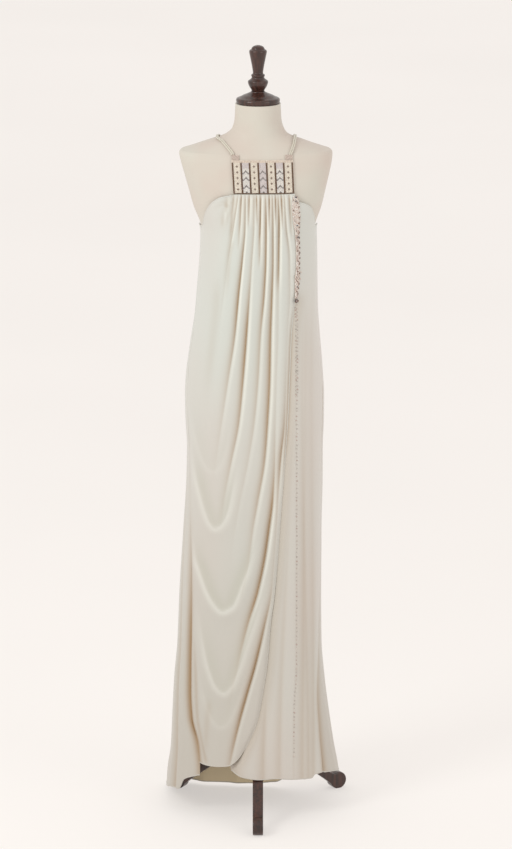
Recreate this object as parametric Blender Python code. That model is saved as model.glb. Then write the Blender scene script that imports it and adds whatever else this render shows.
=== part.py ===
"""An evening dress, gathered at a beaded yoke, on its limbless dress form and turned tripod stand.

Sizes are metres. The floor is z = 0, the front faces -Y and the pole stands at x = 0. Each cloth piece is
a thin wall. Its outside is the smooth shape that the worn dress fills, moved along its normal by folds.
"""

import math

import bmesh
import bpy
import numpy as np
from mathutils import Matrix, Vector
from mathutils.bvhtree import BVHTree

# Cloth and seams
CLOTH = 0.0016
SEAM_GAP = 0.0003
POLE_Y = 0.050  # the pole stands this far behind the middle of the part's box

# The smooth shape that the worn dress fills, from hem to top edge. Left is -X, seen from the front.
DRESS_COLUMNS = ("height", "left", "right", "front", "back", "squareness")
DRESS_SECTIONS = (
    (0.000, 0.2170, 0.2000, 0.134, 0.112, 2.15),
    (0.055, 0.2130, 0.1935, 0.133, 0.112, 2.15),
    (0.100, 0.2085, 0.1870, 0.132, 0.112, 2.15),
    (0.150, 0.2035, 0.1778, 0.130, 0.113, 2.15),
    (0.230, 0.1995, 0.1662, 0.128, 0.114, 2.20),
    (0.310, 0.1955, 0.1560, 0.126, 0.115, 2.20),
    (0.400, 0.1876, 0.1480, 0.124, 0.116, 2.25),
    (0.540, 0.1808, 0.1463, 0.122, 0.117, 2.30),
    (0.670, 0.1724, 0.1462, 0.121, 0.118, 2.30),
    (0.800, 0.1640, 0.1490, 0.121, 0.120, 2.30),
    (0.870, 0.1628, 0.1488, 0.121, 0.121, 2.30),
    (0.930, 0.1658, 0.1508, 0.121, 0.122, 2.30),
    (0.990, 0.1671, 0.1515, 0.120, 0.121, 2.30),
    (1.030, 0.1652, 0.1493, 0.118, 0.116, 2.30),
    (1.080, 0.1595, 0.1455, 0.117, 0.107, 2.35),
    (1.130, 0.1525, 0.1408, 0.117, 0.099, 2.35),
    (1.190, 0.1434, 0.1364, 0.119, 0.095, 2.35),
    (1.250, 0.1381, 0.1350, 0.121, 0.097, 2.35),
    (1.310, 0.1330, 0.1342, 0.122, 0.101, 2.40),
    (1.350, 0.1312, 0.1335, 0.120, 0.103, 2.40),
    (1.400, 0.1395, 0.1388, 0.116, 0.106, 2.45),
    (1.440, 0.1545, 0.1510, 0.1115, 0.108, 2.50),
    (1.480, 0.1655, 0.1615, 0.1055, 0.108, 2.50),
)

# Sections of the dress form, from its hidden base to the top of the neck
FORM_COLUMNS = ("height", "middle", "half", "front", "back", "squareness")
FORM_SECTIONS = (
    (0.885, 0.000, 0.118, 0.084, 0.086, 2.2),
    (0.930, 0.000, 0.130, 0.098, 0.104, 2.2),
    (1.000, 0.000, 0.132, 0.098, 0.104, 2.2),
    (1.070, 0.000, 0.122, 0.094, 0.088, 2.2),
    (1.130, 0.000, 0.114, 0.092, 0.080, 2.2),
    (1.190, 0.000, 0.115, 0.098, 0.080, 2.2),
    (1.260, 0.000, 0.121, 0.105, 0.086, 2.3),
    (1.320, 0.000, 0.1235, 0.109, 0.092, 2.4),
    (1.355, 0.000, 0.1245, 0.108, 0.095, 2.5),
    (1.390, 0.000, 0.1300, 0.1065, 0.098, 2.6),
    (1.430, -0.001, 0.1445, 0.1035, 0.100, 2.6),
    (1.477, -0.002, 0.1565, 0.0985, 0.100, 2.6),
    (1.510, -0.003, 0.1650, 0.0915, 0.097, 2.6),
    (1.535, -0.004, 0.1708, 0.0835, 0.091, 2.6),
    (1.550, -0.005, 0.1728, 0.0770, 0.085, 2.5),
    (1.556, -0.005, 0.1690, 0.0735, 0.081, 2.5),
    (1.5605, -0.005, 0.1560, 0.0705, 0.078, 2.4),
    (1.565, -0.005, 0.1430, 0.0680, 0.075, 2.3),
    (1.571, -0.005, 0.1260, 0.0650, 0.071, 2.2),
    (1.577, -0.004, 0.1085, 0.0620, 0.067, 2.2),
    (1.584, -0.003, 0.0870, 0.0595, 0.063, 2.1),
    (1.593, -0.002, 0.0690, 0.0570, 0.059, 2.0),
    (1.605, 0.000, 0.0585, 0.0545, 0.056, 2.0),
    (1.625, 0.000, 0.0528, 0.0525, 0.053, 2.0),
    (1.661, 0.000, 0.0508, 0.0508, 0.0508, 2.0),
)

# Lines that the cloth of the gathered overlay follows, as x at each height: its left seam, its six main
# valleys, the turned strip along its free edge, and that free edge
LINE_COLUMNS = ("height", "seam", "first", "second", "third", "fourth", "fifth", "deep", "turned", "edge")
OVERLAY_LINES = (
    (0.13, -0.137, -0.131, -0.126, -0.118, -0.109, -0.097, -0.086, -0.067, -0.053),
    (0.18, -0.143, -0.132, -0.125, -0.116, -0.105, -0.091, -0.079, -0.057, -0.027),
    (0.24, -0.158, -0.134, -0.124, -0.113, -0.099, -0.082, -0.070, -0.043, -0.002),
    (0.30, -0.161, -0.136, -0.123, -0.110, -0.094, -0.075, -0.061, -0.027, 0.010),
    (0.38, -0.160, -0.137, -0.122, -0.106, -0.088, -0.067, -0.046, -0.005, 0.022),
    (0.47, -0.158, -0.136, -0.120, -0.102, -0.080, -0.054, -0.025, 0.015, 0.029),
    (0.55, -0.156, -0.135, -0.117, -0.097, -0.072, -0.035, -0.001, 0.031, 0.039),
    (0.63, -0.155, -0.133, -0.114, -0.091, -0.062, -0.021, 0.016, 0.037, 0.046),
    (0.70, -0.155, -0.130, -0.110, -0.086, -0.053, -0.012, 0.026, 0.042, 0.051),
    (0.77, -0.155, -0.127, -0.105, -0.078, -0.041, 0.000, 0.034, 0.0455, 0.056),
    (0.86, -0.156, -0.122, -0.096, -0.061, -0.023, 0.015, 0.038, 0.0520, 0.063),
    (0.95, -0.159, -0.114, -0.083, -0.044, -0.009, 0.022, 0.039, 0.0610, 0.069),
    (1.05, -0.158, -0.104, -0.068, -0.034, 0.000, 0.027, 0.041, 0.0640, 0.073),
    (1.15, -0.146, -0.091, -0.053, -0.026, 0.0055, 0.029, 0.045, 0.0670, 0.077),
    (1.25, -0.136, -0.077, -0.0435, -0.019, 0.0145, 0.0325, 0.046, 0.0725, 0.086),
    (1.33, -0.1295, -0.067, -0.035, -0.0135, 0.0182, 0.0345, 0.0477, 0.0715, 0.089),
    (1.40, -0.134, -0.0555, -0.029, -0.009, 0.0188, 0.0342, 0.0485, 0.0640, 0.0865),
    (1.47, -0.150, -0.0445, -0.028, -0.008, 0.0175, 0.0325, 0.0455, 0.0590, 0.0825),
)

# How deep each valley of the overlay is, in millimetres, at each height
DEPTH_COLUMNS = ("height", "first", "second", "third", "fourth", "fifth", "deep", "turned")
VALLEY_DEPTHS = (
    (0.13, 0.0, 0.0, 0.0, 0.0, 0.0, 0.0, 1.5),
    (0.22, 0.0, 0.0, 0.0, 0.0, 0.0, 0.0, 5.0),
    (0.35, 0.0, 0.0, 0.0, 0.0, 0.0, 1.5, 7.0),
    (0.47, 0.0, 0.0, 0.0, 0.0, 0.0, 5.0, 5.0),
    (0.58, 0.0, 0.0, 0.0, 0.0, 0.5, 8.5, 1.5),
    (0.68, 0.0, 0.0, 0.0, 0.2, 2.0, 8.0, 1.0),
    (0.78, 0.0, 0.0, 1.0, 0.6, 4.0, 4.0, 2.0),
    (0.88, 0.0, 0.4, 3.5, 1.2, 5.2, 2.0, 4.5),
    (1.00, 0.0, 1.6, 5.2, 2.4, 6.0, 1.8, 1.0),
    (1.15, 0.2, 4.6, 5.0, 4.0, 5.0, 3.6, 0.6),
    (1.30, 1.0, 4.4, 3.4, 4.6, 3.6, 5.6, 1.6),
    (1.40, 2.4, 3.2, 3.0, 3.4, 3.0, 5.0, 2.4),
    (1.47, 2.6, 2.8, 2.8, 2.6, 2.6, 3.0, 2.2),
)
VALLEY_HALF_WIDTHS = dict(
    first=0.008, second=0.008, third=0.0075, fourth=0.007, fifth=0.0075, deep=0.0085, turned=0.0055
)
VALLEY_LEAN = 0.35  # each valley's left side is this share wider, and its right side as much steeper

# Hanging swags of the overlay: how far each stands out, its half width, and the points of its U
SWAGS = (
    dict(
        rise=0.0040, width=0.0100,
        x=(-0.156, -0.145, -0.134, -0.121, -0.108, -0.096, -0.080, -0.065, -0.053, -0.044),
        z=(0.910, 0.829, 0.785, 0.740, 0.709, 0.698, 0.715, 0.754, 0.815, 0.870),
    ),
    dict(
        rise=0.0048, width=0.0105,
        x=(-0.152, -0.145, -0.133, -0.120, -0.103, -0.081, -0.057, -0.034, -0.014, 0.002),
        z=(0.700, 0.629, 0.592, 0.556, 0.523, 0.503, 0.515, 0.570, 0.627, 0.690),
    ),
    dict(
        rise=0.0032, width=0.0110,
        x=(-0.142, -0.128, -0.112, -0.096, -0.078, -0.060, -0.041, -0.021, 0.002, 0.020),
        z=(0.530, 0.429, 0.358, 0.320, 0.308, 0.324, 0.369, 0.433, 0.507, 0.600),
    ),
)
SEAM_FLAT = 0.012  # folds fade out over this width beside a seam

# Edges of the cloth, as height at each x across the front
OVERLAY_TOP = ((-0.150, 1.386), (-0.131, 1.388), (-0.127, 1.396), (-0.118, 1.427), (-0.105, 1.449),
               (-0.086, 1.463), (-0.056, 1.4705), (-0.050, 1.4725), (0.090, 1.4725))
OVERLAY_HEM = ((-0.140, 0.135), (-0.106, 0.131), (-0.070, 0.134), (-0.050, 0.148), (-0.030, 0.176))
RIGHT_TOP = ((0.080, 1.4725), (0.085, 1.466), (0.092, 1.453), (0.105, 1.448), (0.119, 1.438),
             (0.128, 1.414), (0.133, 1.388), (0.150, 1.386))
RIGHT_HEM = ((-0.070, 0.124), (-0.030, 0.107), (0.009, 0.102), (0.037, 0.104), (0.086, 0.099),
             (0.126, 0.096), (0.134, 0.104), (0.165, 0.104))

# The right front panel: how far it reaches under the overlay's edge, and x of the right side seam
RIGHT_EDGE_COLUMNS = ("height", "lap", "seam")
RIGHT_EDGES = (
    (0.090, 0.0040, 0.1560),
    (0.125, 0.0120, 0.1530),
    (0.200, 0.0270, 0.1460),
    (0.300, 0.0320, 0.1400),
    (0.430, 0.0240, 0.1415),
    (0.600, 0.0200, 0.1425),
    (0.800, 0.0180, 0.1450),
    (1.000, 0.0160, 0.1470),
    (1.100, 0.0150, 0.1400),
    (1.165, 0.0110, 0.1350),
    (1.205, 0.0030, 0.1325),
    (1.250, -0.0006, 0.1318),
    (1.330, -0.0006, 0.1308),
    (1.400, -0.0006, 0.1355),
    (1.470, -0.0006, 0.1500),
)
UNDER_DEPTH = ((0.10, 0.0120), (0.30, 0.0140), (0.90, 0.0135), (1.10, 0.0100), (1.25, 0.0090))
TUCK_STARTS, TUCK_ENDS = 1.262, 1.222  # the right panel passes under the overlay between these heights

EDGE_STEP_STARTS, EDGE_STEP_ENDS = 0.020, 0.002  # and step back this far to the right of the overlay's edge

# Soft upright folds of the right panel: x at hem and waist, depth in millimetres at both, and half width
RIGHT_FOLDS = (
    (0.012, 0.078, 3.0, 0.5, 0.009),
    (0.050, 0.082, 2.5, 0.8, 0.008),
    (0.104, 0.108, 3.5, 1.5, 0.007),
    (0.130, 0.122, 2.0, 1.0, 0.008),
)
RIGHT_FOLD_HEM, RIGHT_FOLD_WAIST = 0.10, 1.10
RIGHT_FOLDS_FADE, RIGHT_FOLDS_END = 1.10, 1.30

# The back panel: its top and hem as height at each turn from the front, in degrees, and its folds
BACK_TOP = ((90.0, 1.386), (135.0, 1.380), (180.0, 1.374), (225.0, 1.380), (270.0, 1.386))
BACK_HEM = ((45.0, 0.104), (60.0, 0.101), (75.0, 0.093), (90.0, 0.084), (118.0, 0.084), (130.0, 0.087), (144.0, 0.084),
            (157.0, 0.036), (168.0, 0.014), (180.0, 0.009), (205.0, 0.009), (222.0, 0.012), (240.0, 0.017),
            (255.0, 0.028), (268.0, 0.048), (285.0, 0.068), (305.0, 0.081), (311.0, 0.103), (320.0, 0.104))
BACK_FOLD_COLUMNS = ("turn_top", "turn_hem", "depth_top", "depth_hips", "depth_hem", "half_width")
BACK_FOLDS = (
    (112.0, 104.0, 1.0, 2.0, 6.0, 0.010),
    (133.0, 129.0, 2.0, 2.5, 7.0, 0.011),
    (151.0, 147.0, 2.5, 3.0, 5.0, 0.010),
    (168.0, 166.0, 2.0, 4.0, 7.5, 0.012),
    (187.0, 190.0, 2.5, 3.0, 5.0, 0.010),
    (204.0, 209.0, 2.0, 4.0, 6.0, 0.011),
    (224.0, 242.0, 2.0, 2.5, 5.0, 0.011),
    (243.0, 259.0, 1.0, 2.0, 5.0, 0.010),
)
BACK_FOLD_RADIUS = 0.15  # turns into widths, for the folds
BACK_SPAN = (84.0, 278.0)  # turns of the two side seams near the hem
HIPS, BACK_TOP_HEIGHT = 0.95, 1.38

# The train spreads over the left rear foot: how far the hem moves out there, in millimetres, at each turn
TRAIN_COLUMNS = ("turn", "left", "back")
TRAIN_SPREAD = (
    (180.0, 0.0, 0.0),
    (186.0, 1.0, 2.5),
    (192.0, 3.5, 7.0),
    (198.0, 7.5, 13.5),
    (204.0, 13.5, 22.0),
    (210.0, 22.0, 33.0),
    (216.0, 31.0, 46.0),
    (222.0, 38.5, 54.5),
    (228.0, 41.5, 57.0),
    (234.0, 38.0, 46.5),
    (240.0, 29.5, 31.5),
    (246.0, 18.0, 20.0),
    (252.0, 9.5, 10.5),
    (258.0, 4.0, 4.0),
    (264.0, 0.5, 0.5),
    (270.0, 0.0, 0.0),
)
# The share of that spread at each height
TRAIN_SHARE = ((0.0, 1.0), (0.045, 0.99), (0.120, 0.82), (0.250, 0.37), (0.460, 0.0))

# Valleys along the two side seams, in millimetres at each height
LEFT_SEAM_VALLEY = ((0.10, 3.0), (0.25, 5.0), (0.45, 5.0), (0.62, 3.0), (0.80, 1.0), (1.00, 0.0))
RIGHT_SEAM_VALLEY = ((0.08, 4.5), (0.25, 3.5), (0.42, 1.0), (0.60, 0.0))
SEAM_VALLEY_WIDTH = 0.009

# Yoke, tabs and straps lie on the form
YOKE_TOP, YOKE_FOOT = 1.5445, 1.4730
YOKE_TOP_X, YOKE_FOOT_X = (-0.0590, 0.0772), (-0.0545, 0.0802)
YOKE_LIFT, YOKE_THICK, YOKE_RIB = 0.0008, 0.0024, 0.0011
YOKE_BANDS = 7
TAB_WIDTH, TAB_HEIGHT, TAB_THICK = 0.0165, 0.0105, 0.0026
STRAP_WIDTH, STRAP_THICK, STRAP_LIFT = 0.0090, 0.0032, 0.0015
STRAP_END_GAP = 0.0012  # to the tab and to the back panel's top edge, which slope under the strap
STRAP_TURN_CENTRE = Vector((0.0, 0.004, 1.500))
# Degrees from level front, over the top, to the back, and x of each strap
STRAP_COLUMNS = ("turn", "left", "right")
STRAP_ROUTE = (
    (25.0, -0.0555, 0.0715),
    (36.0, -0.0565, 0.0722),
    (46.0, -0.0655, 0.0765),
    (58.0, -0.0775, 0.0800),
    (80.0, -0.0905, 0.0825),
    (105.0, -0.0900, 0.0830),
    (135.0, -0.0830, 0.0790),
    (165.0, -0.0730, 0.0710),
    (200.0, -0.0640, 0.0640),
    (225.0, -0.0600, 0.0600),
    (240.0, -0.0600, 0.0600),
)

# Beaded edging over the overlay's right edge, from the yoke down to the knot
EDGING_COLUMNS = ("height", "width")
EDGING_WIDTHS = ((1.236, 0.0050), (1.262, 0.0090), (1.285, 0.0110), (1.300, 0.0080), (1.340, 0.0085),
                 (1.385, 0.0095), (1.410, 0.0160), (1.435, 0.0185), (1.455, 0.0150), (1.4680, 0.0080))
EDGING_LIFT, EDGING_THICK, EDGING_BEAD, EDGING_PITCH = 0.0006, 0.0022, 0.0012, 0.0235
KNOT_HEIGHT, KNOT_RADIUS = 1.2295, 0.0045

# Stand: profiles are (height, radius) points, and a leg's outline is (reach, height) points
CAP_PROFILE = ((1.6613, 0.0480), (1.6668, 0.0494), (1.6705, 0.0494), (1.6735, 0.0470), (1.6755, 0.0405),
               (1.6800, 0.0330), (1.6820, 0.0270), (1.6842, 0.0225), (1.6868, 0.0163), (1.6884, 0.0158))
FINIAL_PROFILE = ((1.6887, 0.0138), (1.6925, 0.0152), (1.6975, 0.0188), (1.7040, 0.0218), (1.7094, 0.0229),
                  (1.7125, 0.0222), (1.7150, 0.0178), (1.7185, 0.0142), (1.7210, 0.0140), (1.7225, 0.0153),
                  (1.7258, 0.0155), (1.7275, 0.0124), (1.7295, 0.0112), (1.7420, 0.0130), (1.7600, 0.0165),
                  (1.7745, 0.0196), (1.7792, 0.0201), (1.7815, 0.0185), (1.7828, 0.0152), (1.7868, 0.0140),
                  (1.7900, 0.0105), (1.7920, 0.0040))
POLE_RADIUS = 0.014
HUB_PROFILE = ((0.088, 0.0240), (0.093, 0.0330), (0.155, 0.0330), (0.163, 0.0300), (0.170, 0.0220),
               (0.178, 0.0200), (0.184, 0.0240), (0.189, 0.0200))
FOOT_REACH, FOOT_RADIUS, FOOT_FLAT = 0.2158, 0.0205, 0.0008  # the disc is cut flat this far up, to stand on
LEG_THICK = 0.0240
LEG_TOP = ((0.0333, 0.1490), (0.0600, 0.1450), (0.0950, 0.1260), (0.1300, 0.0960), (0.1600, 0.0690),
           (0.1850, 0.0480))
LEG_UNDERSIDE = ((0.1960, 0.0140), (0.1850, 0.0235), (0.1640, 0.0400), (0.1300, 0.0660), (0.0950, 0.0900),
                 (0.0600, 0.1020), (0.0333, 0.1040))
FOOT_NOTCH = 0.25  # radians of the foot's disc that the leg's top runs into
LEG_TURNS = dict(leg_front=-90.0, leg_left=150.0, leg_right=30.0)

# Rows of the panels' grids, as shares of the way down. The back and right panels end in a hem row.
UPPER_ROWS, LOWER_ROWS, ROWS_CHANGE = 13, 13, 0.47
HEM_BAND = 0.031
# Ends of the side seams, the same for both panels that meet there
SEAM_TOP, LEFT_SEAM_FOOT, RIGHT_SEAM_FOOT = 1.386, 0.135, 0.104
SWAG_PARTS = 2  # each lower row of the overlay is split, for its swags
STRANDS_BETWEEN_LINES = 4
WIDE_FOLD = 28.0  # degrees between valleys of the back, above which the crest gets more strands

# Finishes: colour, roughness, metallic
FINISHES = dict(
    ivory_crepe=((0.74, 0.71, 0.62), 0.45, 0.0),
    beadwork=((0.62, 0.54, 0.40), 0.35, 0.0),
    form_cloth=((0.72, 0.63, 0.53), 0.85, 0.0),
    dark_wood=((0.055, 0.022, 0.020), 0.25, 0.0),
)


def curve_through(points, place):
    """A smooth curve through (place, value) points, with no overshoot, read at any place."""
    keys = np.array([point[0] for point in points], float)
    values = np.array([point[1] for point in points], float)
    steps = np.diff(values) / np.diff(keys)
    slopes = np.zeros(len(keys))
    slopes[0], slopes[-1] = steps[0], steps[-1]
    both = steps[:-1] * steps[1:]
    level = np.where(both > 0, steps[:-1] + steps[1:], 1.0)
    slopes[1:-1] = np.where(both > 0, 2 * both / level, 0.0)
    place = np.clip(np.asarray(place, float), keys[0], keys[-1])
    first = np.clip(np.searchsorted(keys, place) - 1, 0, len(keys) - 2)
    span = keys[first + 1] - keys[first]
    t = (place - keys[first]) / span
    ends = (1 - t) ** 2 * ((1 + 2 * t) * values[first] + t * span * slopes[first])
    return ends + t**2 * ((3 - 2 * t) * values[first + 1] - (1 - t) * span * slopes[first + 1])


def column(rows, names, name, place):
    """One named column of a table, read smoothly at any place along the table's first column."""
    index = names.index(name)
    return curve_through([(row[0], row[index]) for row in rows], place)


def smooth_step(t):
    t = np.clip(t, 0.0, 1.0)
    return t * t * (3 - 2 * t)


def section_point(turn, middle, half, front, back, squareness):
    """A point of a rounded section: turn is the angle from the front, growing towards +X."""
    sine, cosine = np.sin(turn), np.cos(turn)
    power = 2 / squareness
    x = middle + half * np.sign(sine) * np.abs(sine) ** power
    y = -np.where(cosine > 0, front, back) * np.sign(cosine) * np.abs(cosine) ** power
    return x, y


def dress_width(height):
    left = column(DRESS_SECTIONS, DRESS_COLUMNS, "left", height)
    right = column(DRESS_SECTIONS, DRESS_COLUMNS, "right", height)
    return (right - left) / 2, (right + left) / 2


def dress_point(turn, height):
    middle, half = dress_width(height)
    front, back, squareness = (
        column(DRESS_SECTIONS, DRESS_COLUMNS, name, height) for name in DRESS_COLUMNS[3:]
    )
    x, y = section_point(turn, middle, half, front, back, squareness)
    return np.stack([x, y, height + 0 * x], axis=-1)


def form_point(turn, height):
    values = [column(FORM_SECTIONS, FORM_COLUMNS, name, height) for name in FORM_COLUMNS[1:]]
    x, y = section_point(turn, *values)
    return np.stack([x, y, height + 0 * x], axis=-1)


def turn_at(x, middle, half, squareness):
    """The turn on the front half at which a section has this x."""
    part = np.clip((x - middle) / half, -0.9999, 0.9999)
    return np.arcsin(np.sign(part) * np.abs(part) ** (squareness / 2))


def dress_turn(x, height):
    middle, half = dress_width(height)
    return turn_at(x, middle, half, column(DRESS_SECTIONS, DRESS_COLUMNS, "squareness", height))


def form_turn(x, height):
    middle, half, squareness = (
        column(FORM_SECTIONS, FORM_COLUMNS, name, height) for name in ("middle", "half", "squareness")
    )
    return turn_at(x, middle, half, squareness)


def outward(surface, turn, height):
    """Unit normals of a surface of turn and height, facing away from the pole."""
    across = surface(turn + 0.01, height) - surface(turn - 0.01, height)
    up = surface(turn, height + 0.004) - surface(turn, height - 0.004)
    normal = np.cross(across, up)
    return normal / np.linalg.norm(normal, axis=-1, keepdims=True)


def line(name, height):
    return column(OVERLAY_LINES, LINE_COLUMNS, name, height)


def bump(distance, width):
    return np.exp(-((distance / width) ** 2))


def distance_to_path(x, z, path_x, path_z):
    """Distance in the upright plane from each point to a line through the path's points."""
    steps = np.linspace(0, len(path_x) - 1, 4 * len(path_x))
    keys = range(len(path_x))
    route_x = curve_through(list(zip(keys, path_x)), steps)
    route_z = curve_through(list(zip(keys, path_z)), steps)
    nearest = np.full(np.shape(x), np.inf)
    for x0, z0, x1, z1 in zip(route_x[:-1], route_z[:-1], route_x[1:], route_z[1:]):
        length = (x1 - x0) ** 2 + (z1 - z0) ** 2
        along = np.clip(((x - x0) * (x1 - x0) + (z - z0) * (z1 - z0)) / length, 0, 1)
        gap = np.hypot(x - x0 - along * (x1 - x0), z - z0 - along * (z1 - z0))
        nearest = np.minimum(nearest, gap)
    return nearest


def seam_valleys(x, y, height):
    """The valleys in which the two side seams lie, shared by the panels that meet there."""
    total = 0.0
    seams = ((line("seam", height), LEFT_SEAM_VALLEY), (right_seam(height), RIGHT_SEAM_VALLEY))
    for seam_x, depths in seams:
        seam = dress_point(dress_turn(seam_x, height), height)
        away = np.hypot(x - seam[..., 0], y - seam[..., 1])
        total = total - curve_through(depths, height) / 1000 * bump(away, SEAM_VALLEY_WIDTH)
    return total


def right_seam(height):
    return column(RIGHT_EDGES, RIGHT_EDGE_COLUMNS, "seam", height)


def overlay_relief(x, height):
    """How far the overlay's cloth stands off the smooth shape: valleys go in, and swags stand out."""
    total = np.zeros(np.shape(x))
    for name in DEPTH_COLUMNS[1:]:
        depth = column(VALLEY_DEPTHS, DEPTH_COLUMNS, name, height) / 1000
        distance = x - line(name, height)
        width = VALLEY_HALF_WIDTHS[name] * (1 - VALLEY_LEAN * np.sign(distance))
        total = total - depth * bump(distance, width)
    swag_rise = np.zeros(np.shape(x))
    for swag in SWAGS:
        near = bump(distance_to_path(x, height, swag["x"], swag["z"]), swag["width"])
        swag_rise = np.maximum(swag_rise, swag["rise"] * near)
    from_seam = smooth_step((x - line("seam", height)) / SEAM_FLAT)
    return (total + swag_rise) * from_seam


def right_relief(x, height):
    """Soft upright folds of the right panel, and its drop where it lies under the overlay."""
    rise = smooth_step((height - RIGHT_FOLD_HEM) / (RIGHT_FOLD_WAIST - RIGHT_FOLD_HEM))
    faded = smooth_step((RIGHT_FOLDS_END - height) / (RIGHT_FOLDS_END - RIGHT_FOLDS_FADE))
    total = np.zeros(np.shape(x))
    for x_hem, x_waist, depth_hem, depth_waist, width in RIGHT_FOLDS:
        depth = (depth_hem + (depth_waist - depth_hem) * rise) / 1000 * faded
        total = total - depth * bump(x - (x_hem + (x_waist - x_hem) * rise), width)
    to_seam = smooth_step((right_seam(height) - x) / SEAM_FLAT)
    tucked = smooth_step((TUCK_STARTS - height) / (TUCK_STARTS - TUCK_ENDS))
    past_edge = x - line("edge", height)
    clear = smooth_step((past_edge - EDGE_STEP_ENDS) / (EDGE_STEP_STARTS - EDGE_STEP_ENDS))
    return total * to_seam * clear - curve_through(UNDER_DEPTH, height) * tucked * (1 - clear)


def back_relief(turn, height):
    """Upright folds of the back panel, deeper towards the hem."""
    total = np.zeros(np.shape(turn))
    for turn_top, turn_hem, depth_top, depth_hips, depth_hem, width in BACK_FOLDS:
        place = np.radians(turn_hem + (turn_top - turn_hem) * height / BACK_TOP_HEIGHT)
        depths = ((0.0, depth_hem), (HIPS, depth_hips), (BACK_TOP_HEIGHT, depth_top))
        depth = curve_through(depths, height) / 1000
        total = total - depth * bump((turn - place) * BACK_FOLD_RADIUS, width)
    return total


def train_spread(turn, height):
    """The back panel's spread over the left rear foot, growing from the knee to the hem."""
    share = curve_through(TRAIN_SHARE, height)
    left, back = (column(TRAIN_SPREAD, TRAIN_COLUMNS, name, np.degrees(turn)) for name in TRAIN_COLUMNS[1:])
    return np.stack([-left * share, back * share, 0 * share], axis=-1) / 1000


def material(name):
    finish = bpy.data.materials.get(name)
    if finish is None:
        colour, roughness, metallic = FINISHES[name]
        finish = bpy.data.materials.new(name)
        finish.use_nodes = True
        shader = finish.node_tree.nodes["Principled BSDF"]
        shader.inputs["Base Color"].default_value = (*colour, 1.0)
        shader.inputs["Roughness"].default_value = roughness
        shader.inputs["Metallic"].default_value = metallic
    return finish


def add_object(name, mesh, finish, stand):
    mesh.materials.append(material(finish))
    mesh.shade_smooth()
    mesh.set_sharp_from_angle(angle=math.radians(40))
    piece = bpy.data.objects.new(name, mesh)
    piece.parent = stand
    bpy.context.collection.objects.link(piece)
    return piece


def mesh_of(name, points, faces):
    """A closed mesh with its faces turned outwards."""
    mesh = bpy.data.meshes.new(name)
    mesh.from_pydata([tuple(map(float, point)) for point in points], [], faces)
    work = bmesh.new()
    work.from_mesh(mesh)
    bmesh.ops.recalc_face_normals(work, faces=work.faces)
    work.to_mesh(mesh)
    work.free()
    return mesh


def grid_triangles(grid):
    """Two triangles for each cell of a grid of points, cut along the cell's shorter diagonal."""
    rows, columns = grid.shape[:2]
    faces = []
    for row in range(rows - 1):
        for col in range(columns - 1):
            a = row * columns + col
            b, c, d = a + 1, a + columns + 1, a + columns
            falling = np.linalg.norm(grid[row + 1, col + 1] - grid[row, col])
            rising = np.linalg.norm(grid[row, col + 1] - grid[row + 1, col])
            faces += [(a, b, c), (a, c, d)] if falling < rising else [(a, b, d), (b, c, d)]
    return faces


def wall(name, outer, inner, finish, stand):
    """A closed wall between an outer and an inner grid of points, with its four edges filled.

    Both sides are cut into triangles in the same way, so that a twisted cell keeps its thickness.
    """
    rows, columns = outer.shape[:2]
    count = rows * columns
    outside = grid_triangles(outer)
    faces = outside + [tuple(corner + count for corner in face[::-1]) for face in outside]
    rim = [col for col in range(columns)]
    rim += [row * columns + columns - 1 for row in range(1, rows)]
    rim += [(rows - 1) * columns + col for col in range(columns - 2, -1, -1)]
    rim += [row * columns for row in range(rows - 2, 0, -1)]
    for here, there in zip(rim, rim[1:] + rim[:1]):
        faces.append((there, here, here + count, there + count))
    points = np.concatenate([outer.reshape(-1, 3), inner.reshape(-1, 3)])
    return add_object(name, mesh_of(name, points, faces), finish, stand)


def loft(name, rings, finish, stand):
    """A closed solid through rings of points, with a flat face at both ends."""
    count, sides = rings.shape[:2]
    faces = []
    for ring in range(count - 1):
        for side in range(sides):
            a, b = ring * sides + side, ring * sides + (side + 1) % sides
            faces.append((a, b, b + sides, a + sides))
    faces.append(tuple(range(sides - 1, -1, -1)))
    faces.append(tuple(range((count - 1) * sides, count * sides)))
    return add_object(name, mesh_of(name, rings.reshape(-1, 3), faces), finish, stand)


def turned(name, profile, sides, stand):
    """A piece turned on a lathe, from (height, radius) points."""
    angles = np.arange(sides) * 2 * math.pi / sides
    rings = [
        np.stack([radius * np.cos(angles), radius * np.sin(angles), np.full(sides, height)], axis=-1)
        for height, radius in profile
    ]
    return loft(name, np.array(rings), "dark_wood", stand)


def seam_points(seam_x, heights, gap):
    """Outer and inner points of a cloth edge that lies along a seam, moved along the cloth by a gap."""
    turns = dress_turn(seam_x(heights), heights)
    smooth, normals = dress_point(turns, heights), outward(dress_point, turns, heights)
    along = dress_point(turns + 0.002, heights) - dress_point(turns - 0.002, heights)
    shifted = smooth + along / np.linalg.norm(along, axis=-1, keepdims=True) * gap
    lift = seam_valleys(smooth[..., 0], smooth[..., 1], heights)[..., None]
    return shifted + normals * lift, shifted + normals * (lift - CLOTH)


def left_seam(height):
    return line("seam", height)


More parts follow.
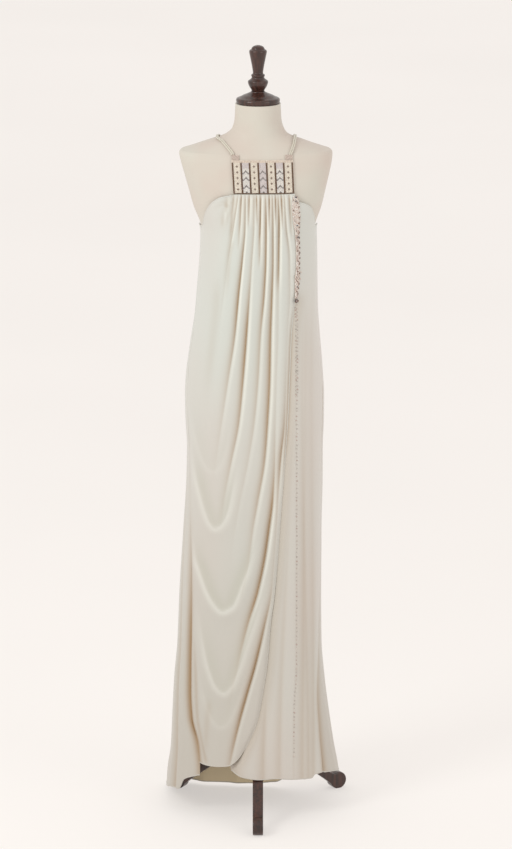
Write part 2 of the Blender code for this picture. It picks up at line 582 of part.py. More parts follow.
def cloth_wall(name, turns, heights, relief, seams, stand, spread=0.0):
    """A cloth panel: a wall whose outside is the dress shape moved out by the relief.

    seams gives, for the first and last strand, the seam that it lies on and its gap. Between the seam's
    own levels an edge runs straight, so that two panels with different rows still meet evenly.
    """
    smooth = dress_point(turns, heights)
    normals = outward(dress_point, turns, heights)
    lift = (relief + seam_valleys(smooth[..., 0], smooth[..., 1], heights))[..., None]
    smooth = smooth + spread
    outer, inner = smooth + normals * lift, smooth + normals * (lift - CLOTH)
    for strand, (seam_x, gap) in seams.items():
        levels = heights[:, strand][np.isin(np.arange(len(heights)), level_rows(len(heights)))]
        outer_points, inner_points = seam_points(seam_x, levels, gap)
        for grid, points in ((outer, outer_points), (inner, inner_points)):
            for axis in range(3):
                grid[:, strand, axis] = np.interp(-heights[:, strand], -levels, points[:, axis])
    return wall(name, outer, inner, "ivory_crepe", stand)


def level_shares():
    """Shares of the way down at which every panel has a row."""
    upper = np.linspace(0, ROWS_CHANGE, UPPER_ROWS + 1)
    return np.concatenate([upper, np.linspace(ROWS_CHANGE, 1, LOWER_ROWS + 1)[1:]])


def swag_shares():
    """The overlay's rows: the shared levels, with the lower ones split."""
    shares = level_shares()
    lower = np.linspace(ROWS_CHANGE, 1, LOWER_ROWS * SWAG_PARTS + 1)
    return np.concatenate([shares[:UPPER_ROWS], lower])


def level_rows(rows):
    """Which rows of a panel with this many rows are the shared levels."""
    if rows == len(swag_shares()):
        return list(range(UPPER_ROWS)) + list(range(UPPER_ROWS, rows, SWAG_PARTS))
    return list(range(rows))


def overlay_turn(along, height):
    """Turn of a strand of the overlay: along runs from 0 at its left seam to 1 at its free edge."""
    guides = [dress_turn(line(name, height), height) for name in LINE_COLUMNS[1:]]
    place = along * (len(guides) - 1)
    first = np.clip(place.astype(int), 0, len(guides) - 2)
    lower, upper = np.choose(first, guides), np.choose(first + 1, guides)
    return lower + (upper - lower) * (place - first)


def right_turn(along, height):
    """Turn of a strand of the right panel, from its edge by or under the overlay to the right side seam."""
    edge = line("edge", height) - column(RIGHT_EDGES, RIGHT_EDGE_COLUMNS, "lap", height)
    left, right = dress_turn(edge, height), dress_turn(right_seam(height), height)
    return left + (right - left) * along


def edge_heights(turn_at_strand, along, edge, start):
    """The heights at which strands meet an edge that is given as height at each x."""
    heights = np.full(along.shape, start)
    for _ in range(12):
        x = dress_point(turn_at_strand(along, heights), heights)[..., 0]
        heights = curve_through(edge, x)
    return heights


def with_hem(top, foot, shares):
    """Heights of a grid whose last row is the hem, one hem band below the row before it."""
    heights = top + (foot + HEM_BAND - top) * shares[:, None]
    return np.concatenate([heights, foot[None]])


def front_drape(stand):
    lines = len(LINE_COLUMNS) - 1
    strands = np.linspace(0, 1, STRANDS_BETWEEN_LINES * (lines - 1) + 1)
    top = edge_heights(overlay_turn, strands, OVERLAY_TOP, 1.45)
    foot = edge_heights(overlay_turn, strands, OVERLAY_HEM, 0.13)
    top[0], foot[0] = SEAM_TOP, LEFT_SEAM_FOOT
    heights = top + (foot - top) * swag_shares()[:, None]
    turns = overlay_turn(np.broadcast_to(strands, heights.shape), heights)
    x = dress_point(turns, heights)[..., 0]
    seams = {0: (left_seam, SEAM_GAP / 2)}
    cloth_wall("front_drape", turns, heights, overlay_relief(x, heights), seams, stand)


def front_right_panel(stand):
    strands = np.linspace(0, 1, 14)
    top = edge_heights(right_turn, strands, RIGHT_TOP, 1.45)
    foot = edge_heights(right_turn, strands, RIGHT_HEM, 0.10)
    top[-1], foot[-1] = SEAM_TOP, RIGHT_SEAM_FOOT
    heights = with_hem(top, foot, level_shares())
    turns = right_turn(np.broadcast_to(strands, heights.shape), heights)
    x = dress_point(turns, heights)[..., 0]
    seams = {-1: (right_seam, -SEAM_GAP / 2)}
    cloth_wall("front_right_panel", turns, heights, right_relief(x, heights), seams, stand)


def back_turns(strands, heights):
    """Turns across the back: the first and last strand lie on the seams, the rest follow the folds down."""
    right = dress_turn(right_seam(heights), heights)
    left = dress_turn(left_seam(heights), heights) + 2 * math.pi
    return right + (left - right) * strands


def back_strands():
    """Shares of the way round the back, at each fold's valley and between valleys."""
    valleys = [fold[BACK_FOLD_COLUMNS.index("turn_hem")] for fold in BACK_FOLDS]
    marks = [BACK_SPAN[0]] + valleys + [BACK_SPAN[1]]
    turns = [marks[0]]
    for start, end in zip(marks[:-1], marks[1:]):
        parts = 4 if end - start > WIDE_FOLD else 2
        turns += [start + (end - start) * part / parts for part in range(1, parts + 1)]
    return (np.array(turns) - turns[0]) / (turns[-1] - turns[0])


def back_panel(stand):
    strands = back_strands()
    shares = level_shares()
    level = np.append(SEAM_TOP + (RIGHT_SEAM_FOOT - SEAM_TOP) * shares, RIGHT_SEAM_FOOT)
    heights = level[:, None] + 0 * strands
    for _ in range(6):
        turns = np.degrees(back_turns(strands, heights))
        top, foot = curve_through(BACK_TOP, turns[0]), curve_through(BACK_HEM, turns[-1])
        top[0], top[-1] = SEAM_TOP, SEAM_TOP
        foot[0], foot[-1] = RIGHT_SEAM_FOOT, LEFT_SEAM_FOOT - HEM_BAND
        heights = with_hem(top, foot, shares)
    turns = back_turns(strands, heights)
    seams = {0: (right_seam, SEAM_GAP / 2), -1: (left_seam, -SEAM_GAP / 2)}
    spread = train_spread(turns, heights)
    cloth_wall("back_panel", turns, heights, back_relief(turns, heights), seams, stand, spread)


def form_patch(name, x, heights, inner_lift, outer_lift, finish, stand):
    """A piece that lies on the front of the form, between two lifts off it."""
    turns = form_turn(x, heights)
    base, normals = form_point(turns, heights), outward(form_point, turns, heights)
    outer_lift = np.broadcast_to(outer_lift, heights.shape)[..., None]
    wall(name, base + normals * outer_lift, base + normals * inner_lift, finish, stand)


def beaded_yoke(stand):
    """The yoke: seven beaded bands, with a raised line of beads between them."""
    places, ribs = [0.0], [0.0]
    for band in range(1, YOKE_BANDS):
        for offset, rib in ((-0.020, 0.0), (-0.007, 1.0), (0.007, 1.0), (0.020, 0.0)):
            places.append(band / YOKE_BANDS + offset)
            ribs.append(rib)
    places.append(1.0)
    ribs.append(0.0)
    down = np.linspace(0, 1, 6)[:, None]
    heights = YOKE_TOP + (YOKE_FOOT - YOKE_TOP) * down + 0 * np.array(places)
    left = YOKE_TOP_X[0] + (YOKE_FOOT_X[0] - YOKE_TOP_X[0]) * down
    right = YOKE_TOP_X[1] + (YOKE_FOOT_X[1] - YOKE_TOP_X[1]) * down
    x = left + (right - left) * np.array(places)
    outer = YOKE_LIFT + YOKE_THICK + YOKE_RIB * np.array(ribs)
    form_patch("beaded_yoke", x, heights, YOKE_LIFT, outer, "beadwork", stand)


def strap_tabs(stand):
    foot = YOKE_TOP + SEAM_GAP
    for name, outer_x, side in (("strap_tab_left", YOKE_TOP_X[0], 1), ("strap_tab_right", YOKE_TOP_X[1], -1)):
        x = outer_x + side * TAB_WIDTH * np.linspace(0, 1, 4)
        if side < 0:
            x = x[::-1]
        heights = (foot + TAB_HEIGHT * np.linspace(1, 0, 3))[:, None] + 0 * x
        x = np.broadcast_to(x, heights.shape)
        form_patch(name, x, heights, YOKE_LIFT, YOKE_LIFT + TAB_THICK, "beadwork", stand)


def strap_section(width, thick):
    """Two narrow rolls side by side: points across the strap and away from the body."""
    half = width / 2
    return ((-half, 0.4 * thick), (-0.8 * half, thick), (-0.3 * half, thick), (0.0, 0.62 * thick),
            (0.3 * half, thick), (0.8 * half, thick), (half, 0.4 * thick), (0.8 * half, 0.0),
            (-0.8 * half, 0.0))


def strap_ends(side):
    """The turns at which a strap starts, just above its tab, and ends, just above the back panel."""
    start_x, end_x = (row[STRAP_COLUMNS.index(side)] for row in (STRAP_ROUTE[0], STRAP_ROUTE[-1]))
    start_z = YOKE_TOP + SEAM_GAP + TAB_HEIGHT + STRAP_END_GAP
    front = form_point(form_turn(start_x, start_z), start_z)
    end_turn = 180 - math.degrees(dress_turn(end_x, BACK_TOP[0][1]))
    end_z = curve_through(BACK_TOP, end_turn) + STRAP_END_GAP
    back = form_point(math.pi - form_turn(end_x, end_z), end_z)
    centre = STRAP_TURN_CENTRE
    start = math.degrees(math.atan2(start_z - centre.z, centre.y - front[1]))
    end = 180 + math.degrees(math.atan2(centre.z - end_z, back[1] - centre.y))
    return start, end


def straps(torso, stand):
    """Narrow straps laid on the form, from the tabs over the shoulders to the back panel's top edge."""
    work = bmesh.new()
    work.from_mesh(torso.data)
    body = BVHTree.FromBMesh(work)
    work.free()
    section = strap_section(STRAP_WIDTH, STRAP_THICK)
    for side in STRAP_COLUMNS[1:]:
        turns = np.linspace(*strap_ends(side), 22)
        route_x = column(STRAP_ROUTE, STRAP_COLUMNS, side, turns)
        path, normals = [], []
        for turn, x in zip(np.radians(turns), route_x):
            aim = Vector((0.0, -math.cos(turn), math.sin(turn)))
            centre = Vector((x, STRAP_TURN_CENTRE.y, STRAP_TURN_CENTRE.z))
            place, normal, _, _ = body.ray_cast(centre + aim * 0.4, -aim)
            path.append(place)
            normals.append(normal)
        rings = []
        for i, (place, _) in enumerate(zip(path, normals)):
            along = (path[min(i + 1, len(path) - 1)] - path[max(i - 1, 0)]).normalized()
            nearby = normals[max(i - 1, 0):i + 2]
            out = sum(nearby, Vector()).normalized()
            out = (out - along * out.dot(along)).normalized()
            across = along.cross(out)
            rings.append([place + across * a + out * (STRAP_LIFT + b) for a, b in section])
        loft("strap_" + side, np.array(rings), "ivory_crepe", stand)


def beaded_edging(stand):
    """The beaded edging over the overlay's right edge, wide at the top, with raised scallops of beads."""
    heights = np.linspace(EDGING_WIDTHS[-1][0], EDGING_WIDTHS[0][0], 31)[:, None]
    across = np.linspace(-0.5, 0.5, 5)
    widths = column(EDGING_WIDTHS, EDGING_COLUMNS, "width", heights)
    x = line("edge", heights) + widths * across
    heights = heights + 0 * x
    turns = dress_turn(x, heights)
    base, normals = dress_point(turns, heights), outward(dress_point, turns, heights)
    scallop = 0.5 + 0.5 * np.cos((EDGING_WIDTHS[-1][0] - heights) * 2 * math.pi / EDGING_PITCH)
    crown = 1 - (2 * across) ** 2
    outer = EDGING_LIFT + EDGING_THICK + EDGING_BEAD * scallop * crown
    wall("beaded_edging", base + normals * outer[..., None], base + normals * EDGING_LIFT, "beadwork", stand)


def edging_knot(stand):
    """The dark bead knot at the foot of the edging, just off the cloth."""
    height = np.array([KNOT_HEIGHT])
    turn = dress_turn(line("edge", height), height)
    normal = outward(dress_point, turn, height)[0]
    centre = dress_point(turn, height)[0] + normal * (KNOT_RADIUS + 0.0006)
    work = bmesh.new()
    bmesh.ops.create_uvsphere(work, u_segments=12, v_segments=8, radius=KNOT_RADIUS)
    bmesh.ops.translate(work, verts=work.verts, vec=Vector(centre))
    mesh = bpy.data.meshes.new("edging_knot")
    work.to_mesh(mesh)
    work.free()
    add_object("edging_knot", mesh, "beadwork", stand)


def form_torso(stand):
    """The dress form: neck, shoulders, bust, waist and hips, whole and smooth, with flat ends."""
    heights = [FORM_SECTIONS[0][0]]
    for lower, upper in zip(FORM_SECTIONS[:-1], FORM_SECTIONS[1:]):
        if upper[0] - lower[0] > 0.05:
            heights.append((upper[0] + lower[0]) / 2)
        heights.append(upper[0])
    turns = np.radians(np.arange(32) * 360 / 32)
    rings = [form_point(turns, np.full(turns.shape, height)) for height in heights]
    return loft("form_torso", np.array(rings), "form_cloth", stand)


def leg_outline():
    """One leg in its upright plane: a swept plank that ends in a round foot, cut flat where it stands."""
    centre = FOOT_RADIUS - FOOT_FLAT
    start = math.atan2(LEG_TOP[-1][1] - centre, LEG_TOP[-1][0] - FOOT_REACH)
    flat = math.acos((FOOT_RADIUS - FOOT_FLAT) / FOOT_RADIUS)
    end = math.atan2(LEG_UNDERSIDE[0][1] - centre, LEG_UNDERSIDE[0][0] - FOOT_REACH)
    down = -math.pi / 2
    outside, underside = np.linspace(start - FOOT_NOTCH, down + flat, 10), np.linspace(down - flat, end, 5)
    angles = np.concatenate([outside, underside])
    arc = [(FOOT_REACH + FOOT_RADIUS * math.cos(a), centre + FOOT_RADIUS * math.sin(a)) for a in angles]
    return list(LEG_TOP) + arc + list(LEG_UNDERSIDE[1:])


def stand_legs(stand):
    for name, turn in LEG_TURNS.items():
        work = bmesh.new()
        corners = [work.verts.new((reach, -LEG_THICK / 2, height)) for reach, height in leg_outline()]
        side = work.faces.new(corners)
        moved = bmesh.ops.extrude_face_region(work, geom=[side])["geom"]
        verts = [part for part in moved if isinstance(part, bmesh.types.BMVert)]
        bmesh.ops.translate(work, verts=verts, vec=(0, LEG_THICK, 0))
        bmesh.ops.recalc_face_normals(work, faces=work.faces)
        bmesh.ops.rotate(work, verts=work.verts, matrix=Matrix.Rotation(math.radians(turn), 3, "Z"))
        mesh = bpy.data.meshes.new(name)
        work.to_mesh(mesh)
        work.free()
        add_object(name, mesh, "dark_wood", stand)


def main():
    for old in list(bpy.data.objects):
        bpy.data.objects.remove(old)
    stand = bpy.data.objects.new("stand_axis", None)
    stand.location = (0, POLE_Y, 0)
    bpy.context.collection.objects.link(stand)
    torso = form_torso(stand)
    turned("neck_cap", CAP_PROFILE, 28, stand)
    turned("finial", FINIAL_PROFILE, 20, stand)
    turned("hub", HUB_PROFILE, 24, stand)
    pole = ((HUB_PROFILE[-1][0] + SEAM_GAP, POLE_RADIUS), (FORM_SECTIONS[0][0] - SEAM_GAP, POLE_RADIUS))
    turned("pole", pole, 20, stand)
    stand_legs(stand)
    front_drape(stand)
    front_right_panel(stand)
    back_panel(stand)
    beaded_yoke(stand)
    strap_tabs(stand)
    straps(torso, stand)
    beaded_edging(stand)
    edging_knot(stand)


main()
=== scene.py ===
# %% [markdown]
# # An evening dress on its dress form
# A dress of soft ivory crepe is gathered at a small beaded yoke, falls to the floor in long folds, and
# hangs in swags where its front is swept across. It is worn on a limbless form on a turned wooden stand.
# The solid model is loaded first. Every piece that is made here lies exactly where its solid lies.

# %% Load the solid model
import math

import bmesh
import bpy
import numpy as np
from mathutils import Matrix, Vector
from mathutils.bvhtree import BVHTree


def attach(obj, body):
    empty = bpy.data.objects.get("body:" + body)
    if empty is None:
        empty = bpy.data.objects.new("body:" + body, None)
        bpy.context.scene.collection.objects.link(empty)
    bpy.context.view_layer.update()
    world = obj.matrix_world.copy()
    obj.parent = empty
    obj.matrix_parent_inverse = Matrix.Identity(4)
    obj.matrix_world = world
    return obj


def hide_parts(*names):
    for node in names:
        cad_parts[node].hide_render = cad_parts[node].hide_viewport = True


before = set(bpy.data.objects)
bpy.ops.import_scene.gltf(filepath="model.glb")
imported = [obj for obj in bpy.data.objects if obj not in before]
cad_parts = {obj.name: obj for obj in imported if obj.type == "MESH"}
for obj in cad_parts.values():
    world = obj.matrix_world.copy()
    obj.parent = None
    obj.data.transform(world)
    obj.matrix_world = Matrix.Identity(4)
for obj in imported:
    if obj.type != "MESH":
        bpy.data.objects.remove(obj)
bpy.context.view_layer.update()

# %% [markdown]
# ## Camera
# A tall, narrow subject is best seen with a long lens from far away: its upright edges stay parallel.
# The camera stands above the shoulders and looks down a little, so the floor fills the background.

# %% Camera
IMAGE_HEIGHT = 849
FOCAL_PIXELS = 3737.4
CAMERA_PLACE = (0.0, -8.261, 3.017)
CAMERA_PITCH, CAMERA_YAW = 0.24749, 0.00054

camera_data = bpy.data.cameras.new("camera")
camera_data.sensor_width = 36.0
camera_data.lens = FOCAL_PIXELS / IMAGE_HEIGHT * camera_data.sensor_width
camera = bpy.data.objects.new("camera", camera_data)
camera.location = CAMERA_PLACE
camera.rotation_euler = (math.pi / 2 - CAMERA_PITCH, 0, CAMERA_YAW)
bpy.context.collection.objects.link(camera)
bpy.context.scene.camera = camera
print("lens, millimetres:", round(camera_data.lens, 1))

# %% [markdown]
# ## Materials
# A finish is more than a colour. Each one here gets slow changes of tone, a fine surface that catches
# the light, and a roughness of its own. One helper makes the shader, and others add a pattern to it, so
# that each finish stays a few lines long. Coordinates are the object's own, in metres, so a pattern's
# scale is its real size.

# %% Material helpers
def new_material(name, roughness, **settings):
    """A material with a plain shader. Settings are named as the shader's sockets, with _ for a space."""
    finish = bpy.data.materials.new(name)
    finish.use_nodes = True
    shader = finish.node_tree.nodes["Principled BSDF"]
    shader.inputs["Roughness"].default_value = roughness
    for socket, value in settings.items():
        shader.inputs[socket.replace("_", " ")].default_value = value
    return finish, finish.node_tree, shader


def noise(tree, scale, detail=3.0, stretch=(1.0, 1.0, 1.0)):
    """A noise pattern with this many waves to a metre, stretched along an axis where wanted."""
    place = tree.nodes.new("ShaderNodeTexCoord")
    mapping = tree.nodes.new("ShaderNodeMapping")
    mapping.inputs["Scale"].default_value = stretch
    pattern = tree.nodes.new("ShaderNodeTexNoise")
    pattern.inputs["Scale"].default_value = scale
    pattern.inputs["Detail"].default_value = detail
    tree.links.new(place.outputs["Object"], mapping.inputs["Vector"])
    tree.links.new(mapping.outputs["Vector"], pattern.inputs["Vector"])
    return pattern.outputs["Fac"]


def spread(tree, value, low, high):
    """A value's middle range stretched to the whole range from 0 to 1."""
    change = tree.nodes.new("ShaderNodeMapRange")
    change.inputs["From Min"].default_value = low
    change.inputs["From Max"].default_value = high
    tree.links.new(value, change.inputs["Value"])
    return change.outputs["Result"]


def blend_colours(tree, factor, first, second):
    """The first colour, turning into the second where the factor is high."""
    mix = tree.nodes.new("ShaderNodeMix")
    mix.data_type = "RGBA"
    tree.links.new(factor, mix.inputs["Factor"])
    for socket, colour in (("A", first), ("B", second)):
        target = [s for s in mix.inputs if s.name == socket and s.type == "RGBA"][0]
        if isinstance(colour, tuple):
            target.default_value = (*colour, 1.0)
        else:
            tree.links.new(colour, target)
    return [s for s in mix.outputs if s.type == "RGBA"][0]


def painted(tree, name):
    """A value that was stored at each point of the mesh."""
    stored = tree.nodes.new("ShaderNodeAttribute")
    stored.attribute_name = name
    return stored


def add_bump(tree, shader, height, depth, strength=1.0):
    """A fine relief in the shader, this many metres deep, on top of any that it has."""
    bump_node = tree.nodes.new("ShaderNodeBump")
    bump_node.inputs["Distance"].default_value = depth
    bump_node.inputs["Strength"].default_value = strength
    tree.links.new(height, bump_node.inputs["Height"])
    if shader.inputs["Normal"].is_linked:
        tree.links.new(shader.inputs["Normal"].links[0].from_socket, bump_node.inputs["Normal"])
    tree.links.new(bump_node.outputs["Normal"], shader.inputs["Normal"])


# %% [markdown]
# Silk crepe is matt with a soft glow. It is cool where it faces the light and turns tan deep in a fold,
# because light bounces between its two warm sides there. A real studio gives that by itself only in
# part, so the depth of each fold is stored on the mesh and tints the cloth.

# %% Ivory crepe
CREPE_COOL, CREPE_WARM = (0.580, 0.600, 0.560), (0.610, 0.560, 0.520)
CREPE_LOW_SHADE, CREPE_CREST = (0.480, 0.445, 0.395), (0.750, 0.755, 0.695)
CREPE_FOLD, CREPE_SHADE, CREPE_INSIDE_SHADE = (0.335, 0.215, 0.110), (0.455, 0.450, 0.375), (0.640, 0.530, 0.350)
CREPE_WAVES, CREPE_GRAIN, CREPE_SLUBS = 3.2, 1500.0, 90.0

crepe, tree, shader = new_material(
    "ivory_crepe", 0.46, Sheen_Weight=0.22, Sheen_Roughness=0.45, Specular_IOR_Level=0.42
)
tone = spread(tree, noise(tree, CREPE_WAVES, 2.0, (1.0, 1.0, 0.35)), 0.36, 0.64)
colour = blend_colours(tree, tone, CREPE_COOL, CREPE_WARM)
# Painted light stored at each point of the mesh: low is painted shade that darkens the cloth lower down,
# shade is painted shade inside the swags, crest is a painted highlight on ridges and swags, fold is painted
# shade in valleys, seams and along the free edge, and inside is painted shade on the cloth's inner face that
# also warms the rouleaux a little.
for mark, tint in (("low", CREPE_LOW_SHADE), ("shade", CREPE_SHADE), ("crest", CREPE_CREST), ("fold", CREPE_FOLD),
                   ("inside", CREPE_INSIDE_SHADE)):
    colour = blend_colours(tree, painted(tree, mark).outputs["Fac"], colour, tint)
tree.links.new(colour, shader.inputs["Base Color"])
add_bump(tree, shader, noise(tree, CREPE_SLUBS, 3.0, (1.0, 1.0, 0.06)), 0.00025, 0.5)
add_bump(tree, shader, noise(tree, CREPE_GRAIN, 1.0), 0.00006, 0.5)
print("made", crepe.name)

# %% [markdown]
# The form is covered in a pale knitted cloth, quite matt, with a faint pink cast where it is in shade.

# %% Form cloth
FORM_LIGHT, FORM_PINK = (0.595, 0.570, 0.505), (0.590, 0.520, 0.460)
FORM_WAVES, FORM_KNIT = 7.0, 700.0
form_cloth, tree, shader = new_material("form_cloth", 0.85, Sheen_Weight=0.15, Specular_IOR_Level=0.2)
tone = spread(tree, noise(tree, FORM_WAVES, 2.0), 0.38, 0.62)
tree.links.new(blend_colours(tree, tone, FORM_LIGHT, FORM_PINK), shader.inputs["Base Color"])
add_bump(tree, shader, noise(tree, FORM_KNIT, 2.0, (1.0, 1.0, 1.6)), 0.00012, 0.6)
print("made", form_cloth.name)

# %% [markdown]
# The stand is stained nearly black, with a red glow, and polished. Grain runs along each piece, so the
# noise is stretched upwards, and a thin clear coat gives the sharp lights of the polish.

# %% Dark wood
WOOD_DARK, WOOD_RED = (0.016, 0.007, 0.005), (0.072, 0.024, 0.015)
WOOD_GRAIN = 160.0
dark_wood, tree, shader = new_material(
    "dark_wood", 0.38, Coat_Weight=0.45, Coat_Roughness=0.12, Specular_IOR_Level=0.4
)
grain = spread(tree, noise(tree, WOOD_GRAIN, 4.0, (1.0, 1.0, 0.10)), 0.30, 0.75)
tree.links.new(blend_colours(tree, grain, WOOD_DARK, WOOD_RED), shader.inputs["Base Color"])
add_bump(tree, shader, grain, 0.00008, 0.5)
print("made", dark_wood.name)

# %% [markdown]
# Beads are small and glossy. All of them share one material, which reads each bead's own colour from the
# mesh, and the cloth under them has a material like the crepe, a little pinker.

# %% Beads and the cloth under them
BEAD_SPECKLE, SPECKLE_VALUE = 500.0, 0.82
BACKING_LIGHT, BACKING_PINK = (0.66, 0.58, 0.51), (0.56, 0.47, 0.41)
BACKING_WAVES, BACKING_WEAVE = 260.0, 900.0

beads_finish, tree, shader = new_material("glass_beads", 0.24, Specular_IOR_Level=0.6, Coat_Weight=0.25)
speckle = spread(tree, noise(tree, BEAD_SPECKLE, 1.0), 0.3, 0.7)
own = painted(tree, "bead_colour").outputs["Color"]
darker = tree.nodes.new("ShaderNodeHueSaturation")
darker.inputs["Value"].default_value = SPECKLE_VALUE
tree.links.new(own, darker.inputs["Color"])
tree.links.new(blend_colours(tree, speckle, own, darker.outputs["Color"]), shader.inputs["Base Color"])

backing, tree, shader = new_material("bead_backing", 0.6, Sheen_Weight=0.1)
tone = spread(tree, noise(tree, BACKING_WAVES, 2.0), 0.35, 0.65)
tree.links.new(blend_colours(tree, tone, BACKING_LIGHT, BACKING_PINK), shader.inputs["Base Color"])
add_bump(tree, shader, noise(tree, BACKING_WEAVE, 2.0), 0.0001, 0.6)
print("made", beads_finish.name, "and", backing.name)

# %% [markdown]
# ## The shape that the dress fills
# A worn dress is easiest to build as a smooth tube first. The tables give its width and depth at each
# height, and `dress_point` turns an angle round the body and a height into a point. Folds come later,
# as small moves along the surface's own normal. The form inside is made in the same way.

# %% Tables of sections
POLE_Y = 0.050  # the stand's pole is this far behind the middle of the part's box
CLOTH = 0.0016
SEAM_GAP = 0.0003
DRESS_COLUMNS = ("height", "left", "right", "front", "back", "squareness")
DRESS_SECTIONS = (
    (0.000, 0.2170, 0.2000, 0.134, 0.112, 2.15),
    (0.055, 0.2130, 0.1935, 0.133, 0.112, 2.15),
    (0.100, 0.2085, 0.1870, 0.132, 0.112, 2.15),
    (0.150, 0.2035, 0.1778, 0.130, 0.113, 2.15),
    (0.230, 0.1995, 0.1662, 0.128, 0.114, 2.20),
    (0.310, 0.1955, 0.1560, 0.126, 0.115, 2.20),
    (0.400, 0.1876, 0.1480, 0.124, 0.116, 2.25),
    (0.540, 0.1808, 0.1463, 0.122, 0.117, 2.30),
    (0.670, 0.1724, 0.1462, 0.121, 0.118, 2.30),
    (0.800, 0.1640, 0.1490, 0.121, 0.120, 2.30),
    (0.870, 0.1628, 0.1488, 0.121, 0.121, 2.30),
    (0.930, 0.1658, 0.1508, 0.121, 0.122, 2.30),
    (0.990, 0.1671, 0.1515, 0.120, 0.121, 2.30),
    (1.030, 0.1652, 0.1493, 0.118, 0.116, 2.30),
    (1.080, 0.1595, 0.1455, 0.117, 0.107, 2.35),
    (1.130, 0.1525, 0.1408, 0.117, 0.099, 2.35),
    (1.190, 0.1434, 0.1364, 0.119, 0.095, 2.35),
    (1.250, 0.1381, 0.1350, 0.121, 0.097, 2.35),
    (1.310, 0.1330, 0.1342, 0.122, 0.101, 2.40),
    (1.350, 0.1312, 0.1335, 0.120, 0.103, 2.40),
    (1.400, 0.1395, 0.1388, 0.116, 0.106, 2.45),
    (1.440, 0.1545, 0.1510, 0.1115, 0.108, 2.50),
    (1.480, 0.1655, 0.1615, 0.1055, 0.108, 2.50),
)
FORM_COLUMNS = ("height", "middle", "half", "front", "back", "squareness")
FORM_SECTIONS = (
    (0.885, 0.000, 0.118, 0.084, 0.086, 2.2),
    (0.930, 0.000, 0.130, 0.098, 0.104, 2.2),
    (1.000, 0.000, 0.132, 0.098, 0.104, 2.2),
    (1.070, 0.000, 0.122, 0.094, 0.088, 2.2),
    (1.130, 0.000, 0.114, 0.092, 0.080, 2.2),
    (1.190, 0.000, 0.115, 0.098, 0.080, 2.2),
    (1.260, 0.000, 0.121, 0.105, 0.086, 2.3),
    (1.320, 0.000, 0.1235, 0.109, 0.092, 2.4),
    (1.355, 0.000, 0.1245, 0.108, 0.095, 2.5),
    (1.390, 0.000, 0.1300, 0.1065, 0.098, 2.6),
    (1.430, -0.001, 0.1445, 0.1035, 0.100, 2.6),
    (1.477, -0.002, 0.1565, 0.0985, 0.100, 2.6),
    (1.510, -0.003, 0.1650, 0.0915, 0.097, 2.6),
    (1.535, -0.004, 0.1708, 0.0835, 0.091, 2.6),
    (1.550, -0.005, 0.1728, 0.0770, 0.085, 2.5),
    (1.556, -0.005, 0.1690, 0.0735, 0.081, 2.5),
    (1.5605, -0.005, 0.1560, 0.0705, 0.078, 2.4),
    (1.565, -0.005, 0.1430, 0.0680, 0.075, 2.3),
    (1.571, -0.005, 0.1260, 0.0650, 0.071, 2.2),
    (1.577, -0.004, 0.1085, 0.0620, 0.067, 2.2),
    (1.584, -0.003, 0.0870, 0.0595, 0.063, 2.1),
    (1.593, -0.002, 0.0690, 0.0570, 0.059, 2.0),
    (1.605, 0.000, 0.0585, 0.0545, 0.056, 2.0),
    (1.625, 0.000, 0.0528, 0.0525, 0.053, 2.0),
    (1.661, 0.000, 0.0508, 0.0508, 0.0508, 2.0),
)
print(len(DRESS_SECTIONS), "sections of the dress,", len(FORM_SECTIONS), "of the form")


# %% Points of the dress and of the form
def curve_through(points, place):
    """A smooth curve through (place, value) points, with no overshoot, read at any place."""
    keys = np.array([point[0] for point in points], float)
    values = np.array([point[1] for point in points], float)
    steps = np.diff(values) / np.diff(keys)
    slopes = np.zeros(len(keys))
    slopes[0], slopes[-1] = steps[0], steps[-1]
    both = steps[:-1] * steps[1:]
    level = np.where(both > 0, steps[:-1] + steps[1:], 1.0)
    slopes[1:-1] = np.where(both > 0, 2 * both / level, 0.0)
    place = np.clip(np.asarray(place, float), keys[0], keys[-1])
    first = np.clip(np.searchsorted(keys, place) - 1, 0, len(keys) - 2)
    span = keys[first + 1] - keys[first]
    t = (place - keys[first]) / span
    ends = (1 - t) ** 2 * ((1 + 2 * t) * values[first] + t * span * slopes[first])
    return ends + t**2 * ((3 - 2 * t) * values[first + 1] - (1 - t) * span * slopes[first + 1])


def column(rows, names, name, place):
    """One named column of a table, read smoothly at any place along the table's first column."""
    index = names.index(name)
    return curve_through([(row[0], row[index]) for row in rows], place)


def smooth_step(t):
    t = np.clip(t, 0.0, 1.0)
    return t * t * (3 - 2 * t)


def section_point(turn, height, middle, half, front, back, squareness):
    """A point of a rounded section: turn is the angle from the front, growing towards +X."""
    sine, cosine = np.sin(turn), np.cos(turn)
    power = 2 / squareness
    x = middle + half * np.sign(sine) * np.abs(sine) ** power
    y = POLE_Y - np.where(cosine > 0, front, back) * np.sign(cosine) * np.abs(cosine) ** power
    return np.stack([x, y, height + 0 * x], axis=-1)


def dress_width(height):
    left = column(DRESS_SECTIONS, DRESS_COLUMNS, "left", height)
    right = column(DRESS_SECTIONS, DRESS_COLUMNS, "right", height)
    return (right - left) / 2, (right + left) / 2


def dress_point(turn, height):
    depths = [column(DRESS_SECTIONS, DRESS_COLUMNS, name, height) for name in DRESS_COLUMNS[3:]]
    return section_point(turn, height, *dress_width(height), *depths)


def form_point(turn, height):
    values = [column(FORM_SECTIONS, FORM_COLUMNS, name, height) for name in FORM_COLUMNS[1:]]
    return section_point(turn, height, *values)


def turn_at(x, middle, half, squareness):
    """The turn on the front half at which a section has this x."""
    part = np.clip((x - middle) / half, -0.9999, 0.9999)
    return np.arcsin(np.sign(part) * np.abs(part) ** (squareness / 2))


def dress_turn(x, height):
    squareness = column(DRESS_SECTIONS, DRESS_COLUMNS, "squareness", height)
    return turn_at(x, *dress_width(height), squareness)


def form_turn(x, height):
    names = ("middle", "half", "squareness")
    return turn_at(x, *(column(FORM_SECTIONS, FORM_COLUMNS, name, height) for name in names))


